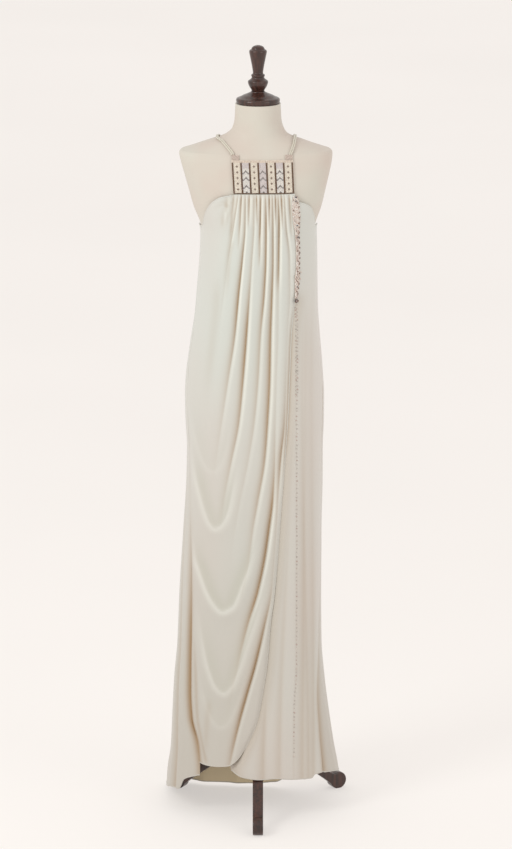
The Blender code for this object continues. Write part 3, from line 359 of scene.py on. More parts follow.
def outward(surface, turn, height):
    """Unit normals of a surface of turn and height, facing away from the pole."""
    across = surface(turn + 0.01, height) - surface(turn - 0.01, height)
    up = surface(turn, height + 0.004) - surface(turn, height - 0.004)
    normal = np.cross(across, up)
    return normal / np.linalg.norm(normal, axis=-1, keepdims=True)


print("waist half width:", round(float(dress_width(1.19)[1]), 4))

# %% [markdown]
# ## Where the folds run
# Long folds fall from the gathers, lean to the left and die away. Each is a line across the cloth: the
# table gives its x at every height, so the mesh can follow it and the fold stays crisp. A second table
# says how deep each fold is. The front also hangs in three swags, which are paths in the shape of a U.

# %% Lines of the gathered front
LINE_COLUMNS = ("height", "seam", "first", "second", "third", "fourth", "fifth", "deep", "turned", "edge")
OVERLAY_LINES = (
    (0.13, -0.137, -0.131, -0.126, -0.118, -0.109, -0.097, -0.086, -0.067, -0.053),
    (0.18, -0.143, -0.132, -0.125, -0.116, -0.105, -0.091, -0.079, -0.057, -0.027),
    (0.24, -0.158, -0.134, -0.124, -0.113, -0.099, -0.082, -0.070, -0.043, -0.002),
    (0.30, -0.161, -0.136, -0.123, -0.110, -0.094, -0.075, -0.061, -0.027, 0.010),
    (0.38, -0.160, -0.137, -0.122, -0.106, -0.088, -0.067, -0.046, -0.005, 0.022),
    (0.47, -0.158, -0.136, -0.120, -0.102, -0.080, -0.054, -0.025, 0.015, 0.029),
    (0.55, -0.156, -0.135, -0.117, -0.097, -0.072, -0.035, -0.001, 0.031, 0.039),
    (0.63, -0.155, -0.133, -0.114, -0.091, -0.062, -0.021, 0.016, 0.037, 0.046),
    (0.70, -0.155, -0.130, -0.110, -0.086, -0.053, -0.012, 0.026, 0.042, 0.051),
    (0.77, -0.155, -0.127, -0.105, -0.078, -0.041, 0.000, 0.034, 0.0455, 0.056),
    (0.86, -0.156, -0.122, -0.096, -0.061, -0.023, 0.015, 0.038, 0.0520, 0.063),
    (0.95, -0.159, -0.114, -0.083, -0.044, -0.009, 0.022, 0.039, 0.0610, 0.069),
    (1.05, -0.158, -0.104, -0.068, -0.034, 0.000, 0.027, 0.041, 0.0640, 0.073),
    (1.15, -0.146, -0.091, -0.053, -0.026, 0.0055, 0.029, 0.045, 0.0670, 0.077),
    (1.25, -0.136, -0.077, -0.0435, -0.019, 0.0145, 0.0325, 0.046, 0.0725, 0.086),
    (1.33, -0.1295, -0.067, -0.035, -0.0135, 0.0182, 0.0345, 0.0477, 0.0715, 0.089),
    (1.40, -0.134, -0.0555, -0.029, -0.009, 0.0188, 0.0342, 0.0485, 0.0640, 0.0865),
    (1.47, -0.150, -0.0445, -0.028, -0.008, 0.0175, 0.0325, 0.0455, 0.0590, 0.0825),
)
DEPTH_COLUMNS = ("height", "first", "second", "third", "fourth", "fifth", "deep", "turned")
VALLEY_DEPTHS = (
    (0.13, 0.0, 0.0, 0.0, 0.0, 0.0, 0.0, 1.5),
    (0.22, 0.0, 0.0, 0.0, 0.0, 0.0, 0.0, 4.5),
    (0.35, 0.0, 0.0, 0.0, 0.0, 0.0, 0.6, 6.2),
    (0.47, 0.0, 0.0, 0.0, 0.0, 0.0, 3.4, 4.2),
    (0.58, 0.0, 0.0, 0.0, 0.0, 0.5, 7.4, 1.2),
    (0.68, 0.0, 0.0, 0.0, 0.2, 1.6, 8.6, 0.9),
    (0.78, 0.0, 0.0, 0.8, 0.6, 3.0, 4.6, 2.0),
    (0.88, 0.0, 0.4, 2.4, 1.2, 4.2, 2.0, 4.2),
    (1.00, 0.0, 1.6, 4.2, 2.2, 5.2, 0.9, 1.8),
    (1.15, 0.2, 4.0, 5.8, 3.2, 5.4, 0.9, 0.8),
    (1.24, 0.6, 5.6, 3.6, 5.0, 5.2, 1.4, 1.0),
    (1.30, 1.2, 5.2, 2.2, 5.2, 4.6, 4.6, 1.4),
    (1.40, 2.8, 3.4, 2.2, 5.4, 4.2, 5.4, 2.6),
    (1.47, 2.8, 3.0, 2.8, 2.8, 3.2, 3.0, 2.4),
)
VALLEY_LEFT = dict(
    first=0.010, second=0.0115, third=0.0115, fourth=0.013, fifth=0.0115, deep=0.011, turned=0.006
)
VALLEY_RIGHT = dict(
    first=0.005, second=0.0036, third=0.0034, fourth=0.0040, fifth=0.0034, deep=0.0034, turned=0.003
)
NARROWER_ABOVE = ((1.10, 1.0), (1.25, 0.75), (1.35, 0.60), (1.47, 0.50))  # how wide the folds are, by height


def line(name, height):
    return column(OVERLAY_LINES, LINE_COLUMNS, name, height)


def valley(distance, left, right, sharpness=1.5):
    """A fold's section: a long slope on its left, and a steep one on its right."""
    return np.exp(-((np.abs(distance) / np.where(distance < 0, left, right)) ** sharpness))


print(len(DEPTH_COLUMNS) - 1, "long folds")

# %% Small gathers below the yoke, and short creases
GATHERS = (  # x at the yoke and at the foot, the foot's height, and the depth in millimetres
    (-0.0660, -0.0850, 1.385, 1.6),
    (-0.0525, -0.0660, 1.345, 2.4),
    (-0.0365, -0.0440, 1.345, 2.8),
    (-0.0190, -0.0210, 1.395, 2.8),
    (-0.0030, -0.0010, 1.400, 2.8),
    (0.0065, 0.0030, 1.300, 4.2),
    (0.0255, 0.0262, 1.385, 3.0),
    (0.0395, 0.0415, 1.395, 3.0),
    (0.0525, 0.0565, 1.390, 3.0),
    (0.0700, 0.0770, 1.370, 2.6),
)
GATHER_LEFT, GATHER_RIGHT = 0.0030, 0.0014
# How far the tan shade reaches on each side of a valley, and the depth in millimetres that has all of it
DARK_LEFT, DARK_RIGHT, DARK_DEPTH = 0.0074, 0.0021, 5.5
DARK_SHARPNESS = 1.3
DARK_AT_YOKE, LIT_AT_YOKE = 0.35, 0.15  # the shares of shade and light that are left at the yoke itself
GATHER_TINT, CREASE_TINT = 1.8, 0.7  # small gathers are tight, so they are darker than their depth
GATHERS_START, GATHERS_FULL = 0.002, 0.011  # how far below the yoke the gathers begin and are full
RIDGE_AWAY, RIDGE_WIDTH = 0.0060, 0.0042  # the lit ridge on the right of each valley
GATHER_RIDGE = 0.7  # a gather's ridge lies this much closer
UNDER_DEPTH = ((0.10, 0.0120), (0.30, 0.0140), (0.90, 0.0135), (1.10, 0.0100), (1.25, 0.0090))
YOKE_FOOT = 1.4730
# Depth in millimetres, half width, how quickly each end fades in, and the path
PATH_COLUMNS = ("depth", "width", "ends", "x", "z")
CREASES = [dict(zip(PATH_COLUMNS, row)) for row in (
    (1.5, 0.0042, (8, 1.8), (-0.052, -0.066, -0.084, -0.102), (1.466, 1.460, 1.448, 1.432)),
    (1.7, 0.0044, (8, 1.8), (-0.051, -0.063, -0.078, -0.096), (1.462, 1.450, 1.430, 1.400)),
    (1.7, 0.0046, (8, 1.8), (-0.050, -0.060, -0.071, -0.081), (1.458, 1.438, 1.408, 1.366)),
    (1.6, 0.0050, (4, 2.5), (-0.052, -0.063, -0.068, -0.074), (1.375, 1.341, 1.290, 1.220)),
    (1.0, 0.0100, (4, 2.5), (-0.088, -0.096, -0.108, -0.122), (1.300, 1.200, 1.090, 0.960)),
    (2.4, 0.0050, (3, 20), (-0.149, -0.145, -0.141, -0.131, -0.119), (0.473, 0.373, 0.248, 0.185, 0.131)),
    (1.2, 0.0070, (4, 3), (-0.110, -0.116, -0.121, -0.124), (0.300, 0.250, 0.190, 0.140)),
)]
SWAGS = (
    dict(
        rise=4.6, inside=0.0065, outside=0.020,
        x=(-0.156, -0.145, -0.134, -0.121, -0.108, -0.096, -0.080, -0.065, -0.053, -0.044),
        z=(0.910, 0.829, 0.781, 0.734, 0.706, 0.698, 0.709, 0.742, 0.800, 0.862),
    ),
    dict(
        rise=5.6, inside=0.0065, outside=0.022,
        x=(-0.152, -0.145, -0.133, -0.120, -0.103, -0.081, -0.057, -0.034, -0.014, 0.002),
        z=(0.700, 0.629, 0.592, 0.556, 0.523, 0.503, 0.515, 0.570, 0.627, 0.690),
    ),
    dict(
        rise=4.2, inside=0.0075, outside=0.024,
        x=(-0.142, -0.128, -0.112, -0.096, -0.078, -0.060, -0.041, -0.021, 0.002, 0.020),
        z=(0.530, 0.429, 0.358, 0.320, 0.308, 0.324, 0.369, 0.433, 0.507, 0.600),
    ),
    dict(
        rise=1.4, inside=0.0100, outside=0.020,
        x=(-0.156, -0.148, -0.136, -0.124, -0.112, -0.100, -0.088, -0.076, -0.066, -0.058),
        z=(1.000, 0.930, 0.880, 0.850, 0.835, 0.832, 0.842, 0.868, 0.910, 0.960),
    ),
    dict(
        rise=1.6, inside=0.0090, outside=0.020,
        x=(-0.140, -0.128, -0.115, -0.101, -0.087, -0.074, -0.060, -0.046, -0.033, -0.020),
        z=(0.390, 0.310, 0.262, 0.236, 0.226, 0.232, 0.252, 0.288, 0.335, 0.390),
    ),
)
CREST_INSIDE, CREST_OUTSIDE, SHADE_AWAY, SHADE_WIDTH = 0.0035, 0.0080, 0.010, 0.016
SWAG_SHARE, SWAG_ENDS, SHADE_STARTS = 0.85, 5, 0.006
FULL_RISE = 6  # a swag that rises this many millimetres has all the light
PUFF, PUFF_BELOW, PUFF_HEIGHT, PUFF_X, PUFF_FADES = 0.0016, 0.012, 0.014, (-0.052, 0.078), 0.01
SEAM_FLAT = 0.012  # folds fade out over this width beside a seam
# The tan shade along the free edge, by height
EDGE_TINT = ((0.80, 0.0), (0.93, 0.60), (1.13, 0.55), (1.23, 0.0))
EDGE_TINT_WIDTH = 0.0065
EDGE_ROLL, EDGE_ROLL_WIDTH = 0.43, 0.0060  # the free edge rolls in by this share of the step under it
TUCK_STARTS, TUCK_ENDS = 1.262, 1.222
RIPPLE_SPAN, RIPPLE_LEAN = 1.6, 1.7


def from_path(x, z, path):
    """Distance from each point to a path (positive inside its U), and the share of the way along it."""
    steps = np.linspace(0, len(path["x"]) - 1, 6 * len(path["x"]))
    keys = range(len(path["x"]))
    route_x = curve_through(list(zip(keys, path["x"])), steps)
    route_z = curve_through(list(zip(keys, path["z"])), steps)
    nearest, side, share = np.full(np.shape(x), np.inf), np.ones(np.shape(x)), np.zeros(np.shape(x))
    last = len(route_x) - 1
    for i in range(last):
        run, rise = route_x[i + 1] - route_x[i], route_z[i + 1] - route_z[i]
        along = np.clip(((x - route_x[i]) * run + (z - route_z[i]) * rise) / (run**2 + rise**2), 0, 1)
        away_x, away_z = x - route_x[i] - along * run, z - route_z[i] - along * rise
        gap = np.hypot(away_x, away_z)
        closer = gap < nearest
        nearest = np.where(closer, gap, nearest)
        side = np.where(closer, np.sign(run * away_z - rise * away_x), side)
        share = np.where(closer, (i + along) / last, share)
    return nearest * side, share


def ripples(x, z):
    """Slight unevenness that hung cloth always has, in metres."""
    waves = ((23.0, 3.1, 0.4, 0.30), (41.0, 5.3, 1.9, 0.20), (67.0, 2.2, 3.6, 0.14), (12.0, 9.0, 5.1, 0.22))
    total = np.zeros(np.shape(x))
    for across, up, start, height in waves:
        sideways = height * np.sin(across * 2 * math.pi * x / RIPPLE_SPAN + up * z + start)
        total = total + sideways * np.cos(up * RIPPLE_LEAN * z - start)
    return total / 1000


def swag_marks(x, height):
    """The swags' rise in metres, their lit crests, and the shade inside each U."""
    rise, crest, shade = np.zeros(np.shape(x)), np.zeros(np.shape(x)), np.zeros(np.shape(x))
    for swag in SWAGS:
        away, share = from_path(x, height, swag)
        width = np.where(away > 0, swag["inside"], swag["outside"])
        fade = smooth_step(share * SWAG_ENDS) * smooth_step((1 - share) * SWAG_ENDS)
        rise = np.maximum(rise, swag["rise"] / 1000 * fade * np.exp(-((np.abs(away) / width) ** 1.6)))
        strength = fade * swag["rise"] / FULL_RISE
        lit = np.exp(-((away / np.where(away > 0, CREST_INSIDE, CREST_OUTSIDE)) ** 2))
        crest = np.maximum(crest, strength * lit)
        inside = np.exp(-(((away - SHADE_AWAY) / SHADE_WIDTH) ** 2)) * (away > 0)
        shade = np.maximum(shade, strength * inside * smooth_step(away / SHADE_STARTS))
    return rise, crest, shade


def overlay_relief(x, height):
    """How far the gathered front stands off the smooth shape, its dark valleys and its lit ridges."""
    total, dark, lit = np.zeros(np.shape(x)), np.zeros(np.shape(x)), np.zeros(np.shape(x))
    narrower = curve_through(NARROWER_ABOVE, height)
    for name in DEPTH_COLUMNS[1:]:
        depth = column(VALLEY_DEPTHS, DEPTH_COLUMNS, name, height)
        away = (x - line(name, height)) / narrower
        total = total - depth / 1000 * valley(away, VALLEY_LEFT[name], VALLEY_RIGHT[name])
        full = np.clip(depth / DARK_DEPTH, 0, 1)
        dark = np.maximum(dark, full * valley(away, DARK_LEFT, DARK_RIGHT, DARK_SHARPNESS))
        lit = np.maximum(lit, full * np.exp(-(((away - RIDGE_AWAY) / RIDGE_WIDTH) ** 2)))
    for x_yoke, x_foot, foot, depth in GATHERS:
        way = np.clip((YOKE_FOOT - height) / (YOKE_FOOT - foot), 0, 1)
        away = x - (x_yoke + (x_foot - x_yoke) * way)
        faded = depth * (1 - way**2)
        total = total - faded / 1000 * valley(away, GATHER_LEFT, GATHER_RIGHT)
        full = np.clip(faded / DARK_DEPTH * GATHER_TINT, 0, 1)
        dark = np.maximum(dark, full * valley(away, GATHER_LEFT, GATHER_RIGHT, DARK_SHARPNESS))
        lit = np.maximum(lit, full * np.exp(-(((away - RIDGE_AWAY * GATHER_RIDGE) / RIDGE_WIDTH) ** 2)))
    for crease in CREASES:
        away, share = from_path(x, height, crease)
        start, end = crease["ends"]
        fade = smooth_step(share * start) * smooth_step((1 - share) * end)
        dent = fade * np.exp(-((away / crease["width"]) ** 2))
        total = total - crease["depth"] / 1000 * dent
        dark = np.maximum(dark, crease["depth"] / DARK_DEPTH * dent * CREASE_TINT)
    begun = smooth_step((YOKE_FOOT - GATHERS_START - height) / (GATHERS_FULL - GATHERS_START))
    dark = dark * (DARK_AT_YOKE + (1 - DARK_AT_YOKE) * begun)
    lit = lit * (LIT_AT_YOKE + (1 - LIT_AT_YOKE) * begun)
    swags = swag_marks(x, height)[0]
    below_yoke = (YOKE_FOOT - height - PUFF_BELOW) / PUFF_HEIGHT
    puff = PUFF * np.exp(-(below_yoke**2)) * smooth_step((x - PUFF_X[0]) / PUFF_FADES)
    puff = puff * smooth_step((PUFF_X[1] - x) / PUFF_FADES)
    from_seam = smooth_step((x - line("seam", height)) / SEAM_FLAT)
    rolled_in = np.exp(-((np.clip(line("edge", height) - x, 0, 1) / EDGE_ROLL_WIDTH) ** 1.5))
    rolled_in = rolled_in * smooth_step((TUCK_STARTS - height) / (TUCK_STARTS - TUCK_ENDS))
    total = (total + swags * SWAG_SHARE + puff + ripples(x, height)) * from_seam
    total = total - EDGE_ROLL * curve_through(UNDER_DEPTH, height) * rolled_in
    beside_edge = np.exp(-(((line("edge", height) - x) / EDGE_TINT_WIDTH) ** 2))
    dark = np.maximum(dark, curve_through(EDGE_TINT, height) * beside_edge)
    return total, dark * from_seam, lit * (1 - dark)


print(len(GATHERS), "gathers,", len(CREASES), "creases,", len(SWAGS), "swags")

# %% [markdown]
# The right front goes on under the gathered front. It hangs almost flat, with a few upright folds, and
# steps back where the other cloth covers it. The back has upright folds that deepen towards the floor,
# and spreads into a small train over the stand's left foot.

# %% Right front and back
RIGHT_EDGE_COLUMNS = ("height", "lap", "seam")
RIGHT_EDGES = (
    (0.090, 0.0040, 0.1560),
    (0.125, 0.0120, 0.1530),
    (0.200, 0.0270, 0.1460),
    (0.300, 0.0320, 0.1400),
    (0.430, 0.0240, 0.1415),
    (0.600, 0.0200, 0.1425),
    (0.800, 0.0180, 0.1450),
    (1.000, 0.0160, 0.1470),
    (1.100, 0.0150, 0.1400),
    (1.165, 0.0110, 0.1350),
    (1.205, 0.0030, 0.1325),
    (1.250, -0.0006, 0.1318),
    (1.330, -0.0006, 0.1308),
    (1.400, -0.0006, 0.1355),
    (1.470, -0.0006, 0.1500),
)
EDGE_STEP_STARTS, EDGE_STEP_ENDS = 0.0115, -0.0115
EDGE_SHADE, EDGE_SHADE_WIDTH = 0.30, 0.020  # the shade that the gathered front's free edge casts
RIGHT_FOLDS = (  # x at hem and waist, depth in millimetres at both, half width
    (0.012, 0.078, 2.2, 0.4, 0.009),
    (0.050, 0.082, 1.6, 0.5, 0.008),
    (0.104, 0.108, 2.0, 0.8, 0.008),
    (0.130, 0.122, 2.0, 0.8, 0.008),
    (0.118, 0.100, 1.4, 0.5, 0.005),
)
RIGHT_FOLD_HEM, RIGHT_FOLD_WAIST = 0.10, 1.10
RIGHT_FOLD_SIDES, BACK_FOLD_SIDES = (1.4, 0.6), (1.5, 0.6)  # each side's share of a fold's half width
RIGHT_TINT, BACK_RIPPLES = 0.8, 1.5
BEAD_DENT, BEAD_DENT_WIDTH, BEAD_DENT_TOP, BEAD_DENT_FADES = 0.0007, 0.0022, 1.23, 0.02
SEAM_TOP = 1.386
RIGHT_FOLDS_FADE, RIGHT_FOLDS_END = 1.10, 1.30
BEAD_ROW = ((0.149, 0.083), (0.266, 0.084), (0.363, 0.089), (0.438, 0.089), (1.230, 0.087))  # height, x
BACK_TOP_HEIGHT, HIPS, BACK_FOLD_RADIUS = 1.38, 0.95, 0.15
BACK_FOLDS = (  # turn at top and hem, depth in millimetres at top, hips and hem, half width
    (112.0, 104.0, 1.0, 2.0, 6.0, 0.010),
    (133.0, 129.0, 2.0, 2.5, 7.0, 0.011),
    (151.0, 147.0, 2.5, 3.0, 5.0, 0.010),
    (168.0, 166.0, 2.0, 4.0, 7.5, 0.012),
    (187.0, 190.0, 2.5, 3.0, 5.0, 0.010),
    (204.0, 209.0, 2.0, 4.0, 6.0, 0.011),
    (224.0, 242.0, 2.0, 2.5, 5.0, 0.011),
    (243.0, 259.0, 1.0, 2.0, 5.0, 0.010),
    (270.0, 296.0, 0.0, 0.0, 5.0, 0.009),
)
BACK_TINT = ((0.0, 0.50), (HIPS, 1.0))
TRAIN_COLUMNS = ("turn", "left", "back")
TRAIN_SPREAD = (
    (180.0, 0.0, 0.0),
    (186.0, 1.0, 2.5),
    (192.0, 3.5, 7.0),
    (198.0, 7.5, 13.5),
    (204.0, 13.5, 22.0),
    (210.0, 22.0, 33.0),
    (216.0, 31.0, 46.0),
    (222.0, 38.5, 54.5),
    (228.0, 41.5, 57.0),
    (234.0, 38.0, 46.5),
    (240.0, 29.5, 31.5),
    (246.0, 18.0, 20.0),
    (252.0, 9.5, 10.5),
    (258.0, 4.0, 4.0),
    (264.0, 0.5, 0.5),
    (270.0, 0.0, 0.0),
)
TRAIN_SHARE = ((0.0, 1.0), (0.045, 0.99), (0.120, 0.82), (0.250, 0.37), (0.460, 0.0))
LEFT_SEAM_VALLEY = ((0.10, 4.0), (0.25, 8.0), (0.42, 7.5), (0.56, 4.0), (0.70, 1.0), (0.90, 0.0))
RIGHT_SEAM_VALLEY = ((0.08, 4.5), (0.25, 3.5), (0.42, 1.0), (0.60, 0.0))
SEAM_VALLEY_WIDTH = 0.0080
# The armhole corners lie in towards the form. Higher up the form is closer, so little of the pull is kept.
CORNER_PULL, CORNER_PULL_WIDTH, CORNER_PULL_STARTS = 0.0036, 0.080, 1.345
CORNER_PULL_KEPT, CORNER_PULL_FADES = 0.3, 0.030


def right_seam(height):
    return column(RIGHT_EDGES, RIGHT_EDGE_COLUMNS, "seam", height)


def left_seam(height):
    return line("seam", height)


def seam_valleys(x, y, height):
    """The valleys in which the two side seams lie, shared by the panels that meet there."""
    total = 0.0
    for seam_x, depths in ((left_seam(height), LEFT_SEAM_VALLEY), (right_seam(height), RIGHT_SEAM_VALLEY)):
        seam = dress_point(dress_turn(seam_x, height), height)
        away = np.hypot(x - seam[..., 0], y - seam[..., 1])
        total = total - curve_through(depths, height) / 1000 * np.exp(-((away / SEAM_VALLEY_WIDTH) ** 1.6))
    return total


def corner_pull(x, y, height):
    """How far the cloth is drawn in below each armhole."""
    total = 0.0
    for seam_x in (left_seam(height), right_seam(height)):
        seam = dress_point(dress_turn(seam_x, height), height)
        away = np.hypot(x - seam[..., 0], y - seam[..., 1])
        total = np.maximum(total, np.exp(-((away / CORNER_PULL_WIDTH) ** 2)))
    total = total * smooth_step((height - CORNER_PULL_STARTS) / (SEAM_TOP - CORNER_PULL_STARTS))
    kept = 1 - (1 - CORNER_PULL_KEPT) * smooth_step((height - SEAM_TOP) / CORNER_PULL_FADES)
    return CORNER_PULL * total * kept


def right_relief(x, height):
    """The folds of the right front, its step back beneath the gathered front, and its dark valleys."""
    rise = smooth_step((height - RIGHT_FOLD_HEM) / (RIGHT_FOLD_WAIST - RIGHT_FOLD_HEM))
    faded = smooth_step((RIGHT_FOLDS_END - height) / (RIGHT_FOLDS_END - RIGHT_FOLDS_FADE))
    total = np.zeros(np.shape(x))
    for x_hem, x_waist, depth_hem, depth_waist, width in RIGHT_FOLDS:
        depth = (depth_hem + (depth_waist - depth_hem) * rise) / 1000 * faded
        away = x - (x_hem + (x_waist - x_hem) * rise)
        total = total - depth * valley(away, *(width * side for side in RIGHT_FOLD_SIDES))
    beaded = (x - curve_through(BEAD_ROW, height)) / BEAD_DENT_WIDTH
    total = total - BEAD_DENT * np.exp(-(beaded**2)) * smooth_step((BEAD_DENT_TOP - height) / BEAD_DENT_FADES)
    to_seam = smooth_step((right_seam(height) - x) / SEAM_FLAT)
    tucked = smooth_step((TUCK_STARTS - height) / (TUCK_STARTS - TUCK_ENDS))
    past_edge = x - line("edge", height)
    clear = smooth_step((past_edge - EDGE_STEP_ENDS) / (EDGE_STEP_STARTS - EDGE_STEP_ENDS))
    dark = np.clip(-total * 1000 / DARK_DEPTH, 0, 1) * RIGHT_TINT * to_seam * clear
    beside = np.clip(past_edge, 0, 1)
    dark = np.maximum(dark, EDGE_SHADE * tucked * np.exp(-((beside / EDGE_SHADE_WIDTH) ** 2)))
    beside_edge = np.exp(-((beside / EDGE_TINT_WIDTH) ** 2))
    dark = np.maximum(dark, curve_through(EDGE_TINT, height) * beside_edge)
    total = (total + ripples(x + 0.3, height)) * to_seam * clear
    return total, curve_through(UNDER_DEPTH, height) * tucked * (1 - clear), dark


def back_relief(turn, height):
    """The folds of the back, and their dark valleys."""
    total = np.zeros(np.shape(turn))
    for turn_top, turn_hem, depth_top, depth_hips, depth_hem, width in BACK_FOLDS:
        place = np.radians(turn_hem + (turn_top - turn_hem) * height / BACK_TOP_HEIGHT)
        depths = ((0.0, depth_hem), (HIPS, depth_hips), (BACK_TOP_HEIGHT, depth_top))
        folded = valley((turn - place) * BACK_FOLD_RADIUS, *(width * side for side in BACK_FOLD_SIDES))
        total = total - curve_through(depths, height) / 1000 * folded
    dark = np.clip(-total * 1000 / DARK_DEPTH, 0, 1) * curve_through(BACK_TINT, height)
    return total + ripples(turn * BACK_FOLD_RADIUS, height) * BACK_RIPPLES, dark


def train_spread(turn, height):
    share = curve_through(TRAIN_SHARE, height)
    left, back = (column(TRAIN_SPREAD, TRAIN_COLUMNS, name, np.degrees(turn)) for name in TRAIN_COLUMNS[1:])
    return np.stack([-left * share, back * share, 0 * share], axis=-1) / 1000


print("train reaches", max(row[2] for row in TRAIN_SPREAD), "mm behind the skirt")

# %% [markdown]
# ## Cloth panels
# A panel is a grid of points: rows run across, strands run down along the folds. `cloth` moves the grid
# out by its relief, repeats it one cloth thickness further in, and closes the rim, so that the panel is
# a real thin shell with an inside. Strands lie closer together beside each fold line, where the cloth
# bends most.

# %% Helpers for cloth
def add_piece(name, mesh, finish, smooth_angle=60):
    """Puts a mesh in the scene as a piece that rides on the part."""
    mesh.materials.append(finish)
    mesh.shade_smooth()
    mesh.set_sharp_from_angle(angle=math.radians(smooth_angle))
    piece = bpy.data.objects.new(name, mesh)
    bpy.context.collection.objects.link(piece)
    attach(piece, "root")
    return piece


def store(mesh, name, values):
    """Stores one value at each point of a mesh, for its material to read."""
    stored = mesh.attributes.new(name, "FLOAT", "POINT")
    stored.data.foreach_set("value", np.asarray(values, np.float32).ravel())


def grid_faces(rows, columns):
    row, col = np.meshgrid(np.arange(rows - 1), np.arange(columns - 1), indexing="ij")
    a = (row * columns + col).ravel()
    return np.stack([a, a + columns, a + columns + 1, a + 1], axis=-1)


def shell(name, outer, inner):
    """A closed shell between two grids of points."""
    rows, columns = outer.shape[:2]
    count = rows * columns
    outside = grid_faces(rows, columns)
    faces = outside.tolist() + (outside[:, [0, 3, 2, 1]] + count).tolist()
    rim = list(range(columns)) + [row * columns + columns - 1 for row in range(1, rows)]
    rim += [(rows - 1) * columns + col for col in range(columns - 2, -1, -1)]
    rim += [row * columns for row in range(rows - 2, 0, -1)]
    faces += [(here, there, there + count, here + count) for here, there in zip(rim, rim[1:] + rim[:1])]
    mesh = bpy.data.meshes.new(name)
    mesh.from_pydata(np.concatenate([outer.reshape(-1, 3), inner.reshape(-1, 3)]).tolist(), [], faces)
    return mesh


def cloth(name, turns, heights, relief, dark, under=0.0, spread=0.0, crest=0.0, shade=0.0, shade_below=1.0):
    """A cloth panel with its painted shade and highlights. under is how far it steps back beneath another
    panel.

    Gives the piece, its outer points, and their normals.
    """
    smooth = dress_point(turns, heights)
    normals = outward(dress_point, turns, heights)
    seams = seam_valleys(smooth[..., 0], smooth[..., 1], heights)
    pulled = corner_pull(smooth[..., 0], smooth[..., 1], heights)
    outer = smooth + spread + normals * (relief + seams - pulled - under)[..., None]
    inner = outer - normals * CLOTH
    mesh = shell(name, outer, inner)
    marks = dict(
        fold=np.clip(np.maximum(dark * DARKEST, -seams / SEAM_FULL), 0, 1),
        low=shade_below * LOW_SHADE_SHARE * smooth_step((LOW_STARTS - heights) / LOW_STARTS),
        crest=np.clip(crest + 0 * heights, 0, 1),
        shade=np.clip(shade + 0 * heights, 0, 1),
        inside=0 * heights,
    )
    # The inner face is painted with the inside tint, as painted shade.
    for mark, values in marks.items():
        store(mesh, mark, np.concatenate([values.ravel(), np.full(values.size, float(mark == "inside"))]))
    piece = add_piece("cloth_" + name, mesh, crepe)
    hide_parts(name)
    return piece, outer, normals


def area_of(piece):
    """Half of a thin shell's surface: the area of its cloth, in square metres."""
    return sum(face.area for face in piece.data.polygons) / 2


def edge_heights(turn_at_strand, along, edge, start):
    """The heights at which strands meet an edge that is given as height at each x."""
    heights = np.full(along.shape, start)
    for _ in range(12):
        heights = curve_through(edge, dress_point(turn_at_strand(along, heights), heights)[..., 0])
    return heights


def between(start, end, rows):
    """Rows of heights from one edge to another."""
    return start + (end - start) * np.linspace(0, 1, rows)[:, None]


HEM_BAND = 0.031  # the back starts this much below the gathered front's hem at the left seam
DARKEST, SEAM_FULL = 0.95, 0.0075  # the tint in a deep fold, and how deep a seam is where its tint is full
LOW_STARTS, LOW_SHADE_SHARE = 1.30, 0.85  # below this height the cloth is slowly painted greyer and darker, as painted shade lower down
LEFT_SEAM_FOOT, RIGHT_SEAM_FOOT = 0.135, 0.104
print("cloth thickness, millimetres:", CLOTH * 1000)

# %% Gathered front
OVERLAY_TOP = ((-0.150, 1.386), (-0.131, 1.388), (-0.127, 1.396), (-0.118, 1.427), (-0.105, 1.449),
               (-0.086, 1.463), (-0.056, 1.4705), (-0.050, 1.4725), (0.090, 1.4725))
OVERLAY_HEM = ((-0.140, 0.135), (-0.106, 0.131), (-0.070, 0.134), (-0.050, 0.148), (-0.030, 0.176))
OVERLAY_STRANDS, OVERLAY_ROWS, STRAND_CROWDING = 22, 250, 0.10
RIDGE_LIGHT = ((0.25, 0.25), (0.55, 0.40), (0.70, 0.70), (1.15, 0.80), (1.30, 1.0))  # by height
SWAG_LIGHT, SWAG_SHADE = 0.38, 0.5


def overlay_turn(along, height):
    """Turn of a strand of the gathered front: 0 is its left seam and 1 its free edge."""
    guides = [dress_turn(line(name, height), height) for name in LINE_COLUMNS[1:]]
    place = along * (len(guides) - 1)
    first = np.clip(place.astype(int), 0, len(guides) - 2)
    lower, upper = np.choose(first, guides), np.choose(first + 1, guides)
    return lower + (upper - lower) * (place - first)


def crowded_strands(spans, per_span):
    """Shares of the way across, closer together beside each fold line."""
    share = np.arange(spans * per_span + 1) / per_span
    return (share - STRAND_CROWDING * np.sin(2 * math.pi * share)) / spans


strands = crowded_strands(len(LINE_COLUMNS) - 2, OVERLAY_STRANDS)
top = edge_heights(overlay_turn, strands, OVERLAY_TOP, 1.45)
foot = edge_heights(overlay_turn, strands, OVERLAY_HEM, 0.13)
top[0], foot[0] = SEAM_TOP, LEFT_SEAM_FOOT
heights = between(top, foot, OVERLAY_ROWS)
turns = overlay_turn(np.broadcast_to(strands, heights.shape), heights)
x = dress_point(turns, heights)[..., 0]
_, crest, shade = swag_marks(x, heights)
relief, dark, lit = overlay_relief(x, heights)
# crest is a painted highlight along the lit ridges and swag crests, and shade is painted shade inside the
# swags.
front_drape, drape_points, drape_normals = cloth(
    "front_drape", turns, heights, relief, dark,
    crest=np.maximum(crest * SWAG_LIGHT, lit * curve_through(RIDGE_LIGHT, heights)), shade=shade * SWAG_SHADE
)
print("front_drape:", round(area_of(front_drape), 3), "square metres")

